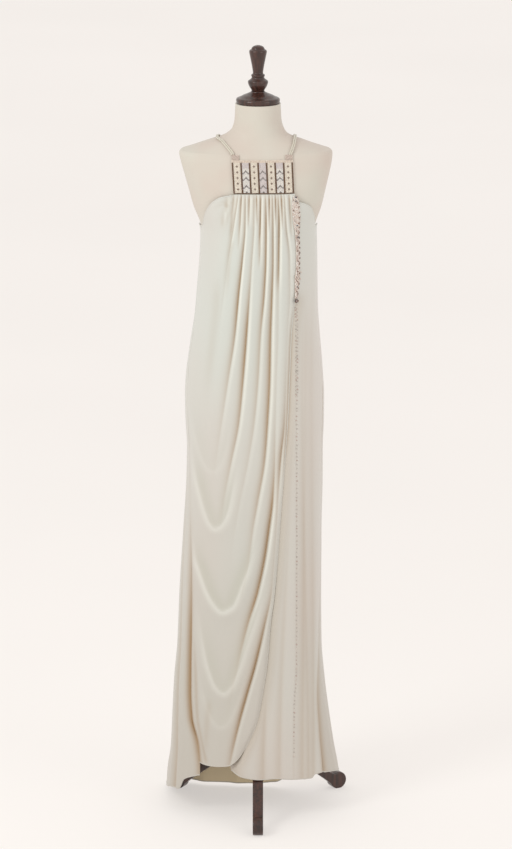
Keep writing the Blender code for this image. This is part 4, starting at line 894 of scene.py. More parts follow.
# %% Right front
RIGHT_TOP = ((0.080, 1.4725), (0.085, 1.466), (0.092, 1.453), (0.105, 1.448), (0.119, 1.438),
             (0.128, 1.414), (0.133, 1.388), (0.150, 1.386))
RIGHT_HEM = ((-0.070, 0.124), (-0.030, 0.107), (0.009, 0.102), (0.037, 0.104), (0.086, 0.099),
             (0.126, 0.096), (0.134, 0.104), (0.165, 0.104))
RIGHT_STRANDS, RIGHT_ROWS = 90, 180
RIGHT_SHADE_BELOW, BACK_SHADE_BELOW = 0.5, 1.15  # how much painted shade the panel gets lower down, against the gathered front


def right_turn(along, height):
    """Turn of a strand of the right front, from beside or under the gathered front to the side seam."""
    edge = line("edge", height) - column(RIGHT_EDGES, RIGHT_EDGE_COLUMNS, "lap", height)
    left, right = dress_turn(edge, height), dress_turn(right_seam(height), height)
    return left + (right - left) * along


strands = np.linspace(0, 1, RIGHT_STRANDS)
top = edge_heights(right_turn, strands, RIGHT_TOP, 1.45)
foot = edge_heights(right_turn, strands, RIGHT_HEM, 0.10)
top[-1], foot[-1] = SEAM_TOP, RIGHT_SEAM_FOOT
heights = between(top, foot, RIGHT_ROWS)
turns = right_turn(np.broadcast_to(strands, heights.shape), heights)
relief, under, dark = right_relief(dress_point(turns, heights)[..., 0], heights)
front_right, right_points, right_normals = cloth(
    "front_right_panel", turns, heights, relief, dark, under, shade_below=RIGHT_SHADE_BELOW
)
print("front_right_panel:", round(area_of(front_right), 3), "square metres")

# %% Back
BACK_TOP = ((90.0, 1.386), (100.0, 1.378), (115.0, 1.3725), (145.0, 1.374), (180.0, 1.374),
            (215.0, 1.374), (245.0, 1.3705), (260.0, 1.3735), (266.0, 1.379), (270.0, 1.386))
BACK_HEM = ((45.0, 0.104), (60.0, 0.101), (75.0, 0.093), (90.0, 0.084), (118.0, 0.084), (130.0, 0.087),
            (144.0, 0.084), (157.0, 0.036), (168.0, 0.014), (180.0, 0.009), (205.0, 0.009), (222.0, 0.012),
            (240.0, 0.017), (255.0, 0.028), (268.0, 0.044), (285.0, 0.055), (302.0, 0.061), (306.0, 0.086),
            (320.0, 0.104))
BACK_STRANDS, BACK_ROWS = 170, 190

strands = np.linspace(0, 1, BACK_STRANDS)
heights = between(SEAM_TOP, RIGHT_SEAM_FOOT, BACK_ROWS) + 0 * strands
for _ in range(6):
    right = dress_turn(right_seam(heights), heights)
    left = dress_turn(left_seam(heights), heights) + 2 * math.pi
    turns = right + (left - right) * strands
    top, foot = curve_through(BACK_TOP, np.degrees(turns[0])), curve_through(BACK_HEM, np.degrees(turns[-1]))
    top[0], top[-1], foot[0], foot[-1] = SEAM_TOP, SEAM_TOP, RIGHT_SEAM_FOOT, LEFT_SEAM_FOOT - HEM_BAND
    heights = between(top, foot, BACK_ROWS)
relief, dark = back_relief(turns, heights)
spread_out = train_spread(turns, heights)
back, back_points, back_normals = cloth(
    "back_panel", turns, heights, relief, dark, spread=spread_out, shade_below=BACK_SHADE_BELOW
)
print("back_panel:", round(area_of(back), 3), "square metres")

# %% [markdown]
# ## Rolled edges
# The raw edges are rolled to the inside and caught with tiny stitches. On the real dress that makes a
# thin cord along each edge. A tube of eight sides, swept along the panel's own edge points, gives it.

# %% Rolled edges
ROLL_RADIUS, ROLL_SIDES = 0.0015, 8
ROLL_SKIPS = 8  # strands of the right front's top edge that lie under the beaded edging
KNOT_HEIGHT, YOKE_FOOT_X = 1.2295, (-0.0545, 0.0802)


def tube(path, normals, radius, sides=ROLL_SIDES):
    """Rings of points round a path that lies on a surface, and the faces that join them."""
    path = np.asarray(path)
    ahead = np.gradient(path, axis=0)
    ahead /= np.linalg.norm(ahead, axis=1, keepdims=True)
    side = np.cross(ahead, normals)
    side /= np.linalg.norm(side, axis=1, keepdims=True)
    other = np.cross(ahead, side)
    angles = np.arange(sides) * 2 * math.pi / sides
    radius = np.broadcast_to(radius, len(path))[:, None, None]
    circle = side[:, None] * np.cos(angles)[:, None] + other[:, None] * np.sin(angles)[:, None]
    points = (path[:, None] + circle * radius).reshape(-1, 3)
    faces = []
    for ring in range(len(path) - 1):
        for i in range(sides):
            a, b = ring * sides + i, ring * sides + (i + 1) % sides
            faces.append((a, a + sides, b + sides, b))
    faces.append(tuple(range(sides)))
    faces.append(tuple(range((len(path) - 1) * sides, len(path) * sides))[::-1])
    return points, faces


def join_parts(name, parts):
    """One mesh of many parts, each a pair of points and faces."""
    points, faces, start = [], [], 0
    for part_points, part_faces in parts:
        points.append(part_points)
        faces += [tuple(i + start for i in face) for face in part_faces]
        start += len(part_points)
    mesh = bpy.data.meshes.new(name)
    mesh.from_pydata(np.concatenate(points).tolist(), [], faces)
    work = bmesh.new()
    work.from_mesh(mesh)
    bmesh.ops.recalc_face_normals(work, faces=work.faces)
    work.to_mesh(mesh)
    work.free()
    return mesh


def around_corner(grid, row):
    """A grid's last column from this row down, and then its last row, from right to left."""
    return np.concatenate([grid[row:, -1], grid[-1, -2::-1]])


knot_row = int(np.argmin(np.abs(drape_points[:, -1, 2] - KNOT_HEIGHT)))
armhole = int(np.sum(drape_points[0, :, 0] < YOKE_FOOT_X[0]))
edges = (
    (around_corner(drape_points, knot_row), around_corner(drape_normals, knot_row)),
    (drape_points[0, :armhole], drape_normals[0, :armhole]),
    (right_points[0, ROLL_SKIPS:], right_normals[0, ROLL_SKIPS:]),
    (right_points[-1], right_normals[-1]),
    (back_points[0], back_normals[0]),
    (back_points[-1], back_normals[-1]),
)
rolls = [tube(path - normals * CLOTH / 2, normals, ROLL_RADIUS) for path, normals in edges]
rolled = join_parts("rolled_edges", rolls)
roll_heights = np.concatenate([points[:, 2] for points, _ in rolls])
# The rolled edges get the same painted shade lower down as the panels.
store(rolled, "low", LOW_SHADE_SHARE * smooth_step((LOW_STARTS - roll_heights) / LOW_STARTS))
add_piece("rolled_edges", rolled, crepe)
print("rolled edges:", sum(len(path) for path, _ in edges), "rings")

# %% [markdown]
# ## Form and stand
# The form is padded and covered, and it shows above the dress. It is made from the same sections as its
# solid, with many more points, so the shoulders are smooth. The stand's turned pieces are profiles spun
# round the pole. Cutting each corner of a profile twice gives the soft, sanded edges of real turning.

# %% Form
FORM_SIDES, FORM_ROWS = 128, 170


def closed_rings(rings):
    """Points and faces of a solid through rings of points, with a flat face at both ends."""
    count, sides = rings.shape[:2]
    faces = []
    for ring in range(count - 1):
        for side in range(sides):
            a, b = ring * sides + side, ring * sides + (side + 1) % sides
            faces.append((a, b, b + sides, a + sides))
    faces.append(tuple(range(sides - 1, -1, -1)))
    faces.append(tuple(range((count - 1) * sides, count * sides)))
    return rings.reshape(-1, 3), faces


levels = np.interp(np.linspace(0, len(FORM_SECTIONS) - 1, FORM_ROWS), range(len(FORM_SECTIONS)),
                   [row[0] for row in FORM_SECTIONS])
turns = np.arange(FORM_SIDES) * 2 * math.pi / FORM_SIDES
rings = form_point(turns[None, :] + 0 * levels[:, None], levels[:, None] + 0 * turns[None, :])
form = add_piece("form_cover", join_parts("form_cover", [closed_rings(rings)]), form_cloth, 50)
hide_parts("form_torso")
print("form cover:", len(form.data.polygons), "faces")

# %% Turned pieces of the stand
CAP_PROFILE = ((1.6613, 0.0480), (1.6668, 0.0494), (1.6705, 0.0494), (1.6735, 0.0470), (1.6755, 0.0405),
               (1.6800, 0.0330), (1.6820, 0.0270), (1.6842, 0.0225), (1.6868, 0.0163), (1.6884, 0.0158))
FINIAL_PROFILE = ((1.6887, 0.0138), (1.6925, 0.0152), (1.6975, 0.0188), (1.7040, 0.0218), (1.7094, 0.0229),
                  (1.7125, 0.0222), (1.7150, 0.0178), (1.7185, 0.0142), (1.7210, 0.0140), (1.7225, 0.0153),
                  (1.7258, 0.0155), (1.7275, 0.0124), (1.7295, 0.0112), (1.7420, 0.0130), (1.7600, 0.0165),
                  (1.7745, 0.0196), (1.7792, 0.0201), (1.7815, 0.0185), (1.7828, 0.0152), (1.7868, 0.0140),
                  (1.7900, 0.0105), (1.7920, 0.0040))
HUB_PROFILE = ((0.088, 0.0240), (0.093, 0.0330), (0.155, 0.0330), (0.163, 0.0300), (0.170, 0.0220),
               (0.178, 0.0200), (0.184, 0.0240), (0.189, 0.0200))
POLE_PROFILE = ((0.1893, 0.0140), (0.8847, 0.0140))
TURNED_SIDES, CORNER_SHARE = 64, 0.25


def cut_corners(profile, times=2):
    """Cuts each inner corner of a profile, and leaves its two ends."""
    points = np.array(profile)
    for _ in range(times):
        start, end = points[:-1], points[1:]
        near, far = start + (end - start) * CORNER_SHARE, end + (start - end) * CORNER_SHARE
        middle = np.stack([near, far], axis=1).reshape(-1, 2)
        points = np.concatenate([points[:1], middle[1:-1], points[-1:]])
    return points


def turned(name, profile):
    """A piece turned on a lathe, round the stand's pole."""
    angles = np.arange(TURNED_SIDES) * 2 * math.pi / TURNED_SIDES
    rings = np.array([
        [(radius * np.cos(angle), POLE_Y + radius * np.sin(angle), height) for angle in angles]
        for height, radius in cut_corners(profile)
    ])
    piece = add_piece("turned_" + name, join_parts(name, [closed_rings(rings)]), dark_wood, 35)
    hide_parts(name)
    return piece


for name, profile in (("neck_cap", CAP_PROFILE), ("finial", FINIAL_PROFILE), ("hub", HUB_PROFILE),
                      ("pole", POLE_PROFILE)):
    piece = turned(name, profile)
    print(piece.name, len(piece.data.polygons), "faces")

# %% Legs
FOOT_REACH, FOOT_RADIUS, FOOT_FLAT, FOOT_NOTCH = 0.2158, 0.0205, 0.0008, 0.25
LEG_THICK, LEG_EDGE = 0.0240, 0.0022
LEG_TOP = ((0.0333, 0.1490), (0.0600, 0.1450), (0.0950, 0.1260), (0.1300, 0.0960), (0.1600, 0.0690),
           (0.1850, 0.0480))
LEG_UNDERSIDE = ((0.1960, 0.0140), (0.1850, 0.0235), (0.1640, 0.0400), (0.1300, 0.0660), (0.0950, 0.0900),
                 (0.0600, 0.1020), (0.0333, 0.1040))
LEG_TURNS = dict(leg_front=-90.0, leg_left=150.0, leg_right=30.0)


def leg_outline():
    """One leg in its upright plane: a swept plank that ends in a round foot, cut flat where it stands."""
    centre = FOOT_RADIUS - FOOT_FLAT
    start = math.atan2(LEG_TOP[-1][1] - centre, LEG_TOP[-1][0] - FOOT_REACH)
    flat = math.acos((FOOT_RADIUS - FOOT_FLAT) / FOOT_RADIUS)
    end = math.atan2(LEG_UNDERSIDE[0][1] - centre, LEG_UNDERSIDE[0][0] - FOOT_REACH)
    outside = np.linspace(start - FOOT_NOTCH, -math.pi / 2 + flat, 30)
    underside = np.linspace(-math.pi / 2 - flat, end, 14)
    arc = [(FOOT_REACH + FOOT_RADIUS * math.cos(a), centre + FOOT_RADIUS * math.sin(a))
           for a in np.concatenate([outside, underside])]
    reaches = np.linspace(LEG_TOP[0][0], LEG_TOP[-1][0], 24)
    top = list(zip(reaches, curve_through(LEG_TOP, reaches)))
    reaches = np.linspace(LEG_UNDERSIDE[1][0], LEG_UNDERSIDE[-1][0], 24)
    under = list(zip(reaches, curve_through(LEG_UNDERSIDE[::-1], reaches)))
    return top + arc + under


for name, turn in LEG_TURNS.items():
    turn = math.radians(turn)
    outline = leg_outline()
    count = len(outline)
    ahead_x, ahead_y = math.cos(turn), math.sin(turn)
    points = [(reach * ahead_x - side * ahead_y, POLE_Y + reach * ahead_y + side * ahead_x, height)
              for side in (-LEG_THICK / 2, LEG_THICK / 2) for reach, height in outline]
    faces = [tuple(range(count)), tuple(range(2 * count - 1, count - 1, -1))]
    faces += [(i, (i + 1) % count, count + (i + 1) % count, count + i) for i in range(count)]
    plank = join_parts(name, [(np.array(points), faces)])
    leg = add_piece("swept_" + name, plank, dark_wood, 30)
    soften = leg.modifiers.new("soft_edges", "BEVEL")
    soften.width, soften.segments, soften.limit_method = LEG_EDGE, 3, "ANGLE"
    soften.angle_limit = math.radians(50)
    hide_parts(name)
print(len(LEG_TURNS), "legs with", count, "corners each")

# %% [markdown]
# ## Beadwork
# The yoke is covered with rows of small glass beads. Four cream bands carry five dark lozenges each, and
# three grey bands carry four dark chevrons, with a dark double row of beads between bands. Every bead is
# a small ball. Its colour follows from its row and column, so the pattern is a rule and not a picture.

# %% Bead helpers
BEAD_COLOURS = dict(
    cream=(0.95, 0.89, 0.78), pearl=(0.93, 0.92, 0.89), lilac=(0.80, 0.75, 0.76), brown=(0.165, 0.088, 0.050),
    rose=(0.50, 0.37, 0.33), dust=(0.60, 0.52, 0.46), ash=(0.50, 0.45, 0.41),
    steel=(0.13, 0.12, 0.13), grey=(0.34, 0.33, 0.34), pink=(0.58, 0.47, 0.42), beige=(0.66, 0.57, 0.49),
    smoke=(0.33, 0.25, 0.22), peach=(0.88, 0.77, 0.66), white=(0.88, 0.86, 0.82),
)


def small_ball():
    """A ball of 32 faces: an octahedron whose faces are each cut into four."""
    corners = [(1, 0, 0), (0, 1, 0), (-1, 0, 0), (0, -1, 0), (0, 0, 1), (0, 0, -1)]
    points, faces, known = [Vector(c) for c in corners], [], {}

    def middle(a, b):
        key = (min(a, b), max(a, b))
        if key not in known:
            known[key] = len(points)
            points.append(((points[a] + points[b]) / 2).normalized())
        return known[key]

    for i in range(4):
        for pole, flip in ((4, False), (5, True)):
            a, b = (i, (i + 1) % 4) if not flip else ((i + 1) % 4, i)
            ab, bc, ca = middle(a, b), middle(b, pole), middle(pole, a)
            faces += [(a, ab, ca), (ab, b, bc), (ca, bc, pole), (ab, bc, ca)]
    return np.array([tuple(point) for point in points]), np.array(faces)


def beads(name, centres, radii, colours):
    """Many beads as one mesh, each with its own place, size and colour."""
    ball, faces = small_ball()
    centres, radii = np.asarray(centres), np.broadcast_to(radii, len(centres))
    points = (centres[:, None] + ball * radii[:, None, None]).reshape(-1, 3)
    all_faces = (faces[None] + np.arange(len(centres))[:, None, None] * len(ball)).reshape(-1, 3)
    mesh = bpy.data.meshes.new(name)
    mesh.from_pydata(points.tolist(), [], all_faces.tolist())
    tints = np.array([(*BEAD_COLOURS[colour], 1.0) for colour in colours], np.float32)
    stored = mesh.attributes.new("bead_colour", "FLOAT_COLOR", "POINT")
    stored.data.foreach_set("color", np.repeat(tints, len(ball), axis=0).ravel())
    return add_piece(name, mesh, beads_finish, 180)


def on_form(x, height, lift):
    """Points that lie a lift above the form's front."""
    turn = form_turn(x, height)
    return form_point(turn, height) + outward(form_point, turn, height) * np.asarray(lift)[..., None]


def strip_on(name, place, x, height, outer, inner):
    """A thin closed strip between two lifts above a surface."""
    return shell(name, place(x, height, outer + 0 * x), place(x, height, inner + 0 * x))


print("colours of beads:", ", ".join(BEAD_COLOURS))

# %% Yoke
YOKE_TOP = 1.5445
YOKE_TOP_X = (-0.0590, 0.0772)
YOKE_LIFT, YOKE_GROUND = 0.0008, 0.0026
YOKE_BANDS, BAND_BEADS, YOKE_ROWS = 7, 11, 41
LOZENGE_ROWS, CHEVRON_ROWS = (7, 14, 21, 28, 35), (12, 20, 30, 38)
TOP_BINDING = 3  # plain rows along the top
BEAD_RADIUS, RIB_RADIUS = 0.00088, 0.00104
BEAD_LIFT, RIB_LIFT = 0.0003, 0.0010


def yoke_colour(col, row):
    """The colour of one bead of the yoke."""
    band, place = divmod(col, BAND_BEADS)
    if row < TOP_BINDING:
        return "peach"
    if place < 2 or row == YOKE_ROWS - 1:
        return "brown"
    middle = place - 6
    if band % 2 == 0:
        near = min(abs(row - lozenge) for lozenge in LOZENGE_ROWS)
        return "brown" if near + abs(middle) <= 1 else "cream"
    drop = (0, 1, 2, 3, 3)[abs(middle)]
    for chevron in CHEVRON_ROWS:
        if row in (chevron + drop, chevron + drop + 1):
            return ("steel", "steel", "grey", "grey", "grey")[abs(middle)]
    return "lilac" if band == 3 or row < 10 else "pearl"


def yoke_place(across, down):
    """x and height at shares of the way across and down the yoke, whose sides lean a little."""
    left, right = (top + (foot - top) * down for top, foot in zip(YOKE_TOP_X, YOKE_FOOT_X))
    return left + (right - left) * across, YOKE_TOP + (YOKE_FOOT - YOKE_TOP) * down


x, height = yoke_place(np.linspace(0, 1, 70), np.linspace(0, 1, 40)[:, None])
ground = strip_on("yoke_ground", on_form, x, height + 0 * x, YOKE_GROUND, YOKE_LIFT)
yoke = add_piece("yoke_ground", ground, backing)
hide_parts("beaded_yoke")

columns_across = YOKE_BANDS * BAND_BEADS + 2
grid_row, grid_col = np.meshgrid(np.arange(YOKE_ROWS), np.arange(columns_across), indexing="ij")
down, across = (grid_row.ravel() + 0.5) / YOKE_ROWS, (grid_col.ravel() + 0.5) / columns_across
ribbed = grid_col.ravel() % BAND_BEADS < 2
radii = np.where(ribbed, RIB_RADIUS, BEAD_RADIUS)
lifts = np.where(ribbed, YOKE_GROUND + RIB_LIFT, YOKE_GROUND + BEAD_LIFT)
centres = on_form(*yoke_place(across, down), lifts)
colours = [yoke_colour(col, row) for row, col in zip(grid_row.ravel(), grid_col.ravel())]
beads("yoke_beads", centres, radii, colours)
print("yoke:", len(centres), "beads")

# %% Tabs
TAB_WIDTH, TAB_HEIGHT, TAB_THICK = 0.0165, 0.0105, 0.0020
TAB_BEADS, TAB_ROWS = 8, 5
TAB_BEAD_RADIUS, TAB_BEAD_LIFT = 0.00098, 0.0002
for side, corner, inward in (("left", YOKE_TOP_X[0], 1), ("right", YOKE_TOP_X[1], -1)):
    x = corner + inward * TAB_WIDTH * np.linspace(0, 1, 12)[:: inward]
    height = (YOKE_TOP + SEAM_GAP + TAB_HEIGHT * np.linspace(1, 0, 8))[:, None] + 0 * x
    x = np.broadcast_to(x, height.shape)
    pad = strip_on("tab_" + side, on_form, x, height, YOKE_LIFT + TAB_THICK, YOKE_LIFT)
    tab = add_piece("tab_" + side, pad, backing)
    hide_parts("strap_tab_" + side)
    row, col = np.meshgrid(np.arange(TAB_ROWS), np.arange(TAB_BEADS), indexing="ij")
    x = corner + inward * TAB_WIDTH * (col.ravel() + 0.5) / TAB_BEADS
    height = YOKE_TOP + TAB_HEIGHT * (row.ravel() + 0.5) / TAB_ROWS
    names = ["pink" if (r + c) % 3 else "beige" for r, c in zip(row.ravel(), col.ravel())]
    centres = on_form(x, height, YOKE_LIFT + TAB_THICK + TAB_BEAD_LIFT + 0 * x)
    beads("tab_beads_" + side, centres, TAB_BEAD_RADIUS, names)
print("tabs:", TAB_BEADS * TAB_ROWS, "beads each")

# %% [markdown]
# ## Straps
# Each strap is two rouleaux, narrow rolls of the crepe, side by side. They lie on the form, so the path
# is found by casting rays at it: down at the front, over the shoulder and down the back.

# %% Straps
STRAP_COLUMNS = ("turn", "left", "right")
STRAP_ROUTE = (
    (25.0, -0.0555, 0.0715),
    (36.0, -0.0565, 0.0722),
    (46.0, -0.0655, 0.0765),
    (58.0, -0.0775, 0.0800),
    (80.0, -0.0905, 0.0825),
    (105.0, -0.0900, 0.0830),
    (135.0, -0.0830, 0.0790),
    (165.0, -0.0730, 0.0710),
    (200.0, -0.0640, 0.0640),
    (225.0, -0.0600, 0.0600),
    (240.0, -0.0600, 0.0600),
)
STRAP_CENTRE = Vector((0.0, 0.004 + POLE_Y, 1.500))
STRAP_END, STRAP_STEPS, RAY_REACH = 1.3745, 90, 0.4
ROULEAU_RADIUS, ROULEAU_SIDES, ROULEAU_APART, STRAP_LIFT = 0.00175, 12, 0.0036, 0.0016
STRAP_SINKS, STRAP_SHADE, STRAP_WARMTH = 0.0002, 0.22, 0.30

work = bmesh.new()
work.from_mesh(form.data)
body = BVHTree.FromBMesh(work)
work.free()


def strap_ends(side):
    """The turns at which a strap starts, above its tab, and ends, at the back panel's top edge."""
    start_x, end_x = (row[STRAP_COLUMNS.index(side)] for row in (STRAP_ROUTE[0], STRAP_ROUTE[-1]))
    start_z, end_z = YOKE_TOP + TAB_HEIGHT + 0.0002, STRAP_END
    front = form_point(form_turn(start_x, start_z), start_z)
    rear = form_point(math.pi - form_turn(end_x, end_z), end_z)
    start = math.degrees(math.atan2(start_z - STRAP_CENTRE.z, STRAP_CENTRE.y - front[1]))
    end = 180 + math.degrees(math.atan2(STRAP_CENTRE.z - end_z, rear[1] - STRAP_CENTRE.y))
    return start, end


for side in STRAP_COLUMNS[1:]:
    turns = np.linspace(*strap_ends(side), STRAP_STEPS)
    route_x = column(STRAP_ROUTE, STRAP_COLUMNS, side, turns)
    places, normals = [], []
    for turn, x in zip(np.radians(turns), route_x):
        aim = Vector((0.0, -math.cos(turn), math.sin(turn)))
        outside = Vector((x, STRAP_CENTRE.y, STRAP_CENTRE.z)) + aim * RAY_REACH
        place, normal, _, _ = body.ray_cast(outside, -aim)
        places.append(place)
        normals.append(normal)
    places, normals = np.array(places), np.array(normals)
    ahead = np.gradient(places, axis=0)
    across = np.cross(ahead, normals)
    across /= np.linalg.norm(across, axis=1, keepdims=True)
    base = places + normals * (STRAP_LIFT + ROULEAU_RADIUS - STRAP_SINKS)
    offsets = (-ROULEAU_APART / 2, ROULEAU_APART / 2)
    rolls = [tube(base + across * offset, normals, ROULEAU_RADIUS, ROULEAU_SIDES) for offset in offsets]
    mesh = join_parts("rouleaux_" + side, rolls)
    round_it = np.arange(len(mesh.vertices)) % ROULEAU_SIDES * 2 * math.pi / ROULEAU_SIDES
    store(mesh, "fold", STRAP_SHADE * np.cos(round_it) ** 4)
    store(mesh, "inside", np.full(len(mesh.vertices), STRAP_WARMTH))
    strap = add_piece("rouleaux_" + side, mesh, crepe)
    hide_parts("strap_" + side)

# %% [markdown]
# ## Beaded edging
# From the yoke's corner a beaded edging runs down the edge of the gathered front to a dark knot. It is
# widest just below the yoke. Two strands of beads wind round each other on it like a scroll, with dark
# beads now and then. Below the knot a fine row of single beads goes on down the skirt.

# %% Edging
EDGING_COLUMNS = ("height", "width")
EDGING_WIDTHS = ((1.236, 0.0050), (1.262, 0.0090), (1.285, 0.0110), (1.300, 0.0080), (1.340, 0.0085),
                 (1.385, 0.0095), (1.410, 0.0160), (1.435, 0.0185), (1.455, 0.0150), (1.4680, 0.0080))
EDGING_LIFT, EDGING_THICK, SCROLL_PITCH, BEAD_STEP = 0.0006, 0.0018, 0.0235, 0.0021
SCROLL_WHITE = 1.395  # both strands of the scroll are white above this height
SCROLL_REACH, SCROLL_LIFT = 0.40, 0.0010
SCROLL_RADIUS, DARK_RADIUS = 0.00115, 0.00145
FILL_STEP, FILL_JITTER, FILL_LIFT, FILL_RADII = 0.0023, 0.0004, 0.0002, (0.00075, 0.00100)
FILL_COLOURS = ("rose", "beige", "dust", "lilac", "rose", "pearl")
LARGE_HEIGHTS = (1.4655, 1.4560, 1.4015, 1.3745, 1.2620)
LARGE_RADIUS, LARGE_X, LARGE_LIFT = 0.0019, 0.0003, 0.0016


def on_dress(x, height, lift):
    """Points that lie a lift above the smooth shape of the dress."""
    turn = dress_turn(x, height)
    return dress_point(turn, height) + outward(dress_point, turn, height) * np.asarray(lift)[..., None]


def edging_width(height):
    return column(EDGING_WIDTHS, EDGING_COLUMNS, "width", height)


height = np.linspace(EDGING_WIDTHS[-1][0], EDGING_WIDTHS[0][0], 150)[:, None]
across = np.linspace(-0.5, 0.5, 13)
x = line("edge", height) + edging_width(height) * across
height = height + 0 * x
crown = EDGING_LIFT + EDGING_THICK * (1 - 0.5 * (2 * across) ** 4)
strip = strip_on("edging_ground", on_dress, x, height, crown, EDGING_LIFT)
edging = add_piece("edging_ground", strip, backing)
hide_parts("beaded_edging")

chance = np.random.default_rng(11)
spots, radii, colours = [], [], []
for i, height in enumerate(np.arange(EDGING_WIDTHS[-1][0] - 0.001, EDGING_WIDTHS[0][0], -BEAD_STEP)):
    width = float(edging_width(height))
    wave = math.cos(2 * math.pi * (EDGING_WIDTHS[-1][0] - height) / SCROLL_PITCH)
    other_colour = "white" if height > SCROLL_WHITE else "rose"
    for strand, colour in ((SCROLL_REACH, "white"), (-SCROLL_REACH, other_colour)):
        dark = i % 11 in ((0, 1, 4) if strand > 0 else (6, 7))
        spots.append((strand * wave * width, height, EDGING_THICK + SCROLL_LIFT))
        radii.append(DARK_RADIUS if dark else SCROLL_RADIUS)
        colours.append(("smoke", "brown")[i % 2] if dark else colour)
    for place in np.arange(-width / 2 + 0.0012, width / 2 - 0.0010, FILL_STEP):
        spots.append((place, height + chance.uniform(-FILL_JITTER, FILL_JITTER), EDGING_THICK + FILL_LIFT))
        radii.append(chance.uniform(*FILL_RADII))
        colours.append(FILL_COLOURS[chance.integers(6)])
for height in LARGE_HEIGHTS:
    spots.append((LARGE_X, height, EDGING_THICK + LARGE_LIFT))
    radii.append(LARGE_RADIUS)
    colours.append("steel")
spots = np.array(spots)
centres = on_dress(line("edge", spots[:, 1]) + spots[:, 0], spots[:, 1], spots[:, 2])
beads("edging_beads", centres, np.array(radii), colours)
print("edging:", len(centres), "beads")

# %% Curled ends, knot and the row of single beads
CURLS = ((1.2925, 0.0030), (1.2850, -0.0022), (1.2780, 0.0024))  # height, and place across
CURL_RADIUS, CURL_TUBE, CURL_LIFT = 0.0042, 0.0011, 0.0016
KNOT_HEART, KNOT_HEART_LIFT, KNOT_BEAD = 0.0030, 0.00405, 0.0015
KNOT_RINGS, KNOT_PER_RING = ((0.0026, 0.0026), (0.0033, 0.0048)), 7  # radius and lift of each ring
ROW_TOP, ROW_OPENS, ROW_FOOT = 1.219, 1.010, 0.150
ROW_CLOSE_PITCH, ROW_PITCH, ROW_ZIGZAG = 0.0042, 0.0095, 0.0016
ROW_UNEVEN, ROW_WANDER, ROW_RADII, ROW_LIFT = 0.0011, 0.0004, (0.0012, 0.0019), 0.0008

parts = []
for height, place in CURLS:
    turns = np.linspace(0, 1.6 * math.pi, 24)
    radius = CURL_RADIUS * (1 - 0.35 * turns / turns[-1])
    heights = height + radius * np.sin(turns)
    x = line("edge", heights) + place + radius * np.cos(turns)
    facing = outward(dress_point, dress_turn(x, heights), heights)
    parts.append(tube(on_dress(x, heights, EDGING_THICK + CURL_LIFT + 0 * x), facing, CURL_TUBE))
add_piece("edging_curls", join_parts("edging_curls", parts), backing)

knot_x = float(line("edge", KNOT_HEIGHT))
spots, radii, colours = [(0.0, 0.0, KNOT_HEART_LIFT)], [KNOT_HEART], ["smoke"]
for ring, lift in KNOT_RINGS:
    for step in range(KNOT_PER_RING):
        angle = 2 * math.pi * (step + ring * 100) / KNOT_PER_RING
        spots.append((ring * math.cos(angle), ring * math.sin(angle), lift))
        radii.append(KNOT_BEAD)
        colours.append("steel" if step % 2 else "brown")
spots = np.array(spots)
centres = on_dress(knot_x + spots[:, 0], KNOT_HEIGHT + spots[:, 1], spots[:, 2])
knot = beads("knot_beads", centres, np.array(radii), colours)
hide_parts("edging_knot")

close = np.arange(ROW_TOP, ROW_OPENS, -ROW_CLOSE_PITCH)
heights = np.concatenate([close, np.arange(ROW_OPENS, ROW_FOOT, -ROW_PITCH)])
zigzag = np.where(np.arange(len(heights)) % 2 == 0, ROW_ZIGZAG, -ROW_ZIGZAG)
heights = heights + chance.normal(0, ROW_UNEVEN, len(heights))
sideways = np.where(heights > ROW_OPENS, zigzag, chance.normal(0, ROW_WANDER, len(heights)))
row_x = curve_through(BEAD_ROW, heights) + sideways
relief, under, _ = right_relief(row_x, heights)
radii = chance.uniform(*ROW_RADII, len(heights))
colours = [("ash", "rose", "ash", "dust")[chance.integers(4)] for _ in heights]
beads("bead_row", on_dress(row_x, heights, relief - under + ROW_LIFT), radii, colours)
print("knot:", len(centres), "beads; row:", len(heights), "beads")
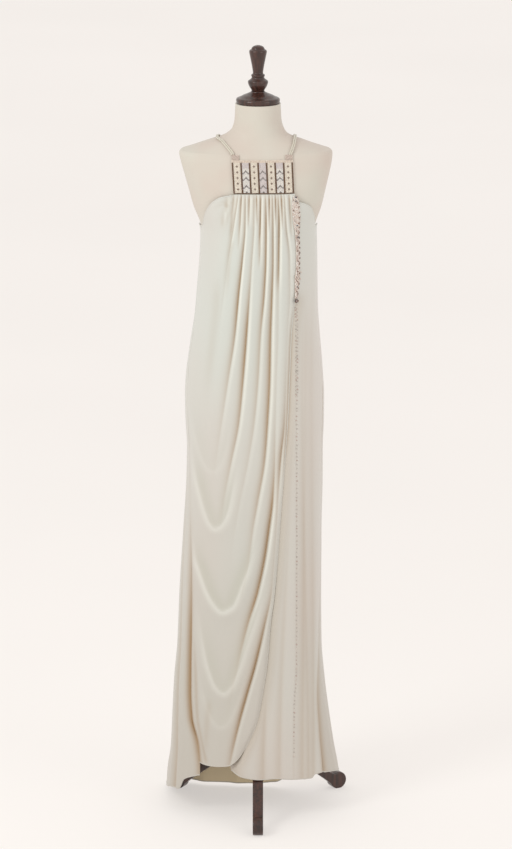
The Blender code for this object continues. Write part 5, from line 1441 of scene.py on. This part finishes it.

# %% [markdown]
# ## Flat sizes of the cloth
# A sheet of cloth can hang in any shape, but it was cut flat first. Each panel's area is measured above,
# where it is built.
# The widths and lengths are rough, and one is too small: as drawn, the panels' widest rows are 0.32, 0.24
# and 0.88 metres, so the back's hem is wider than the 0.66 metres given for its cut.

# %% [markdown]
# ## Floor and light
# A pale floor and soft light keep the eye on the cloth. One large soft light from the left shapes the folds,
# a weaker one fills the right, and the sky-like background and the floor's faint glow, which is painted
# light, lift the shadows.

# %% Floor and light
FLOOR_SIDE = 40.0
FLOOR_LIGHT, FLOOR_GREY = (0.42, 0.40, 0.385), (0.40, 0.38, 0.365)
# The floor glows faintly: painted light that lifts the shadow under the dress and lights the hem from below.
FLOOR_GLOW, FLOOR_GLOW_TINT = 0.52, (1.0, 0.965, 0.935)
WORLD_TINT, WORLD_STRENGTH = (1.0, 0.97, 0.94), 0.92
mesh = bpy.data.meshes.new("studio_floor")
half = FLOOR_SIDE / 2
mesh.from_pydata([(-half, -half, 0), (half, -half, 0), (half, half, 0), (-half, half, 0)], [], [(0, 1, 2, 3)])
floor = bpy.data.objects.new("studio_floor", mesh)
bpy.context.collection.objects.link(floor)
floor_finish, tree, shader = new_material(
    "studio_floor", 0.9, Specular_IOR_Level=0.1, Emission_Strength=FLOOR_GLOW
)
tone = spread(tree, noise(tree, 0.5, 2.0), 0.3, 0.7)
shader.inputs["Emission Color"].default_value = (*FLOOR_GLOW_TINT, 1.0)
tree.links.new(blend_colours(tree, tone, FLOOR_LIGHT, FLOOR_GREY), shader.inputs["Base Color"])
mesh.materials.append(floor_finish)


def soft_light(name, place, aim, size, watts, tint):
    """A square studio light that points at a place."""
    data = bpy.data.lights.new(name, "AREA")
    data.size, data.energy, data.color = size, watts, tint
    lamp = bpy.data.objects.new(name, data)
    lamp.location = place
    lamp.rotation_euler = (Vector(aim) - Vector(place)).to_track_quat("-Z", "Y").to_euler()
    bpy.context.collection.objects.link(lamp)


soft_light("key_light", (-2.8, -2.4, 3.2), (0, 0, 1.0), 1.4, 56, (0.96, 1.0, 0.98))
soft_light("fill_light", (3.2, -2.8, 2.0), (0, 0, 0.9), 2.2, 24, (1.0, 0.96, 0.93))
world = bpy.data.worlds.new("studio")
world.use_nodes = True
background = world.node_tree.nodes["Background"]
background.inputs["Color"].default_value = (*WORLD_TINT, 1.0)
background.inputs["Strength"].default_value = WORLD_STRENGTH
bpy.context.scene.world = world
bpy.context.scene.view_settings.view_transform = "Standard"
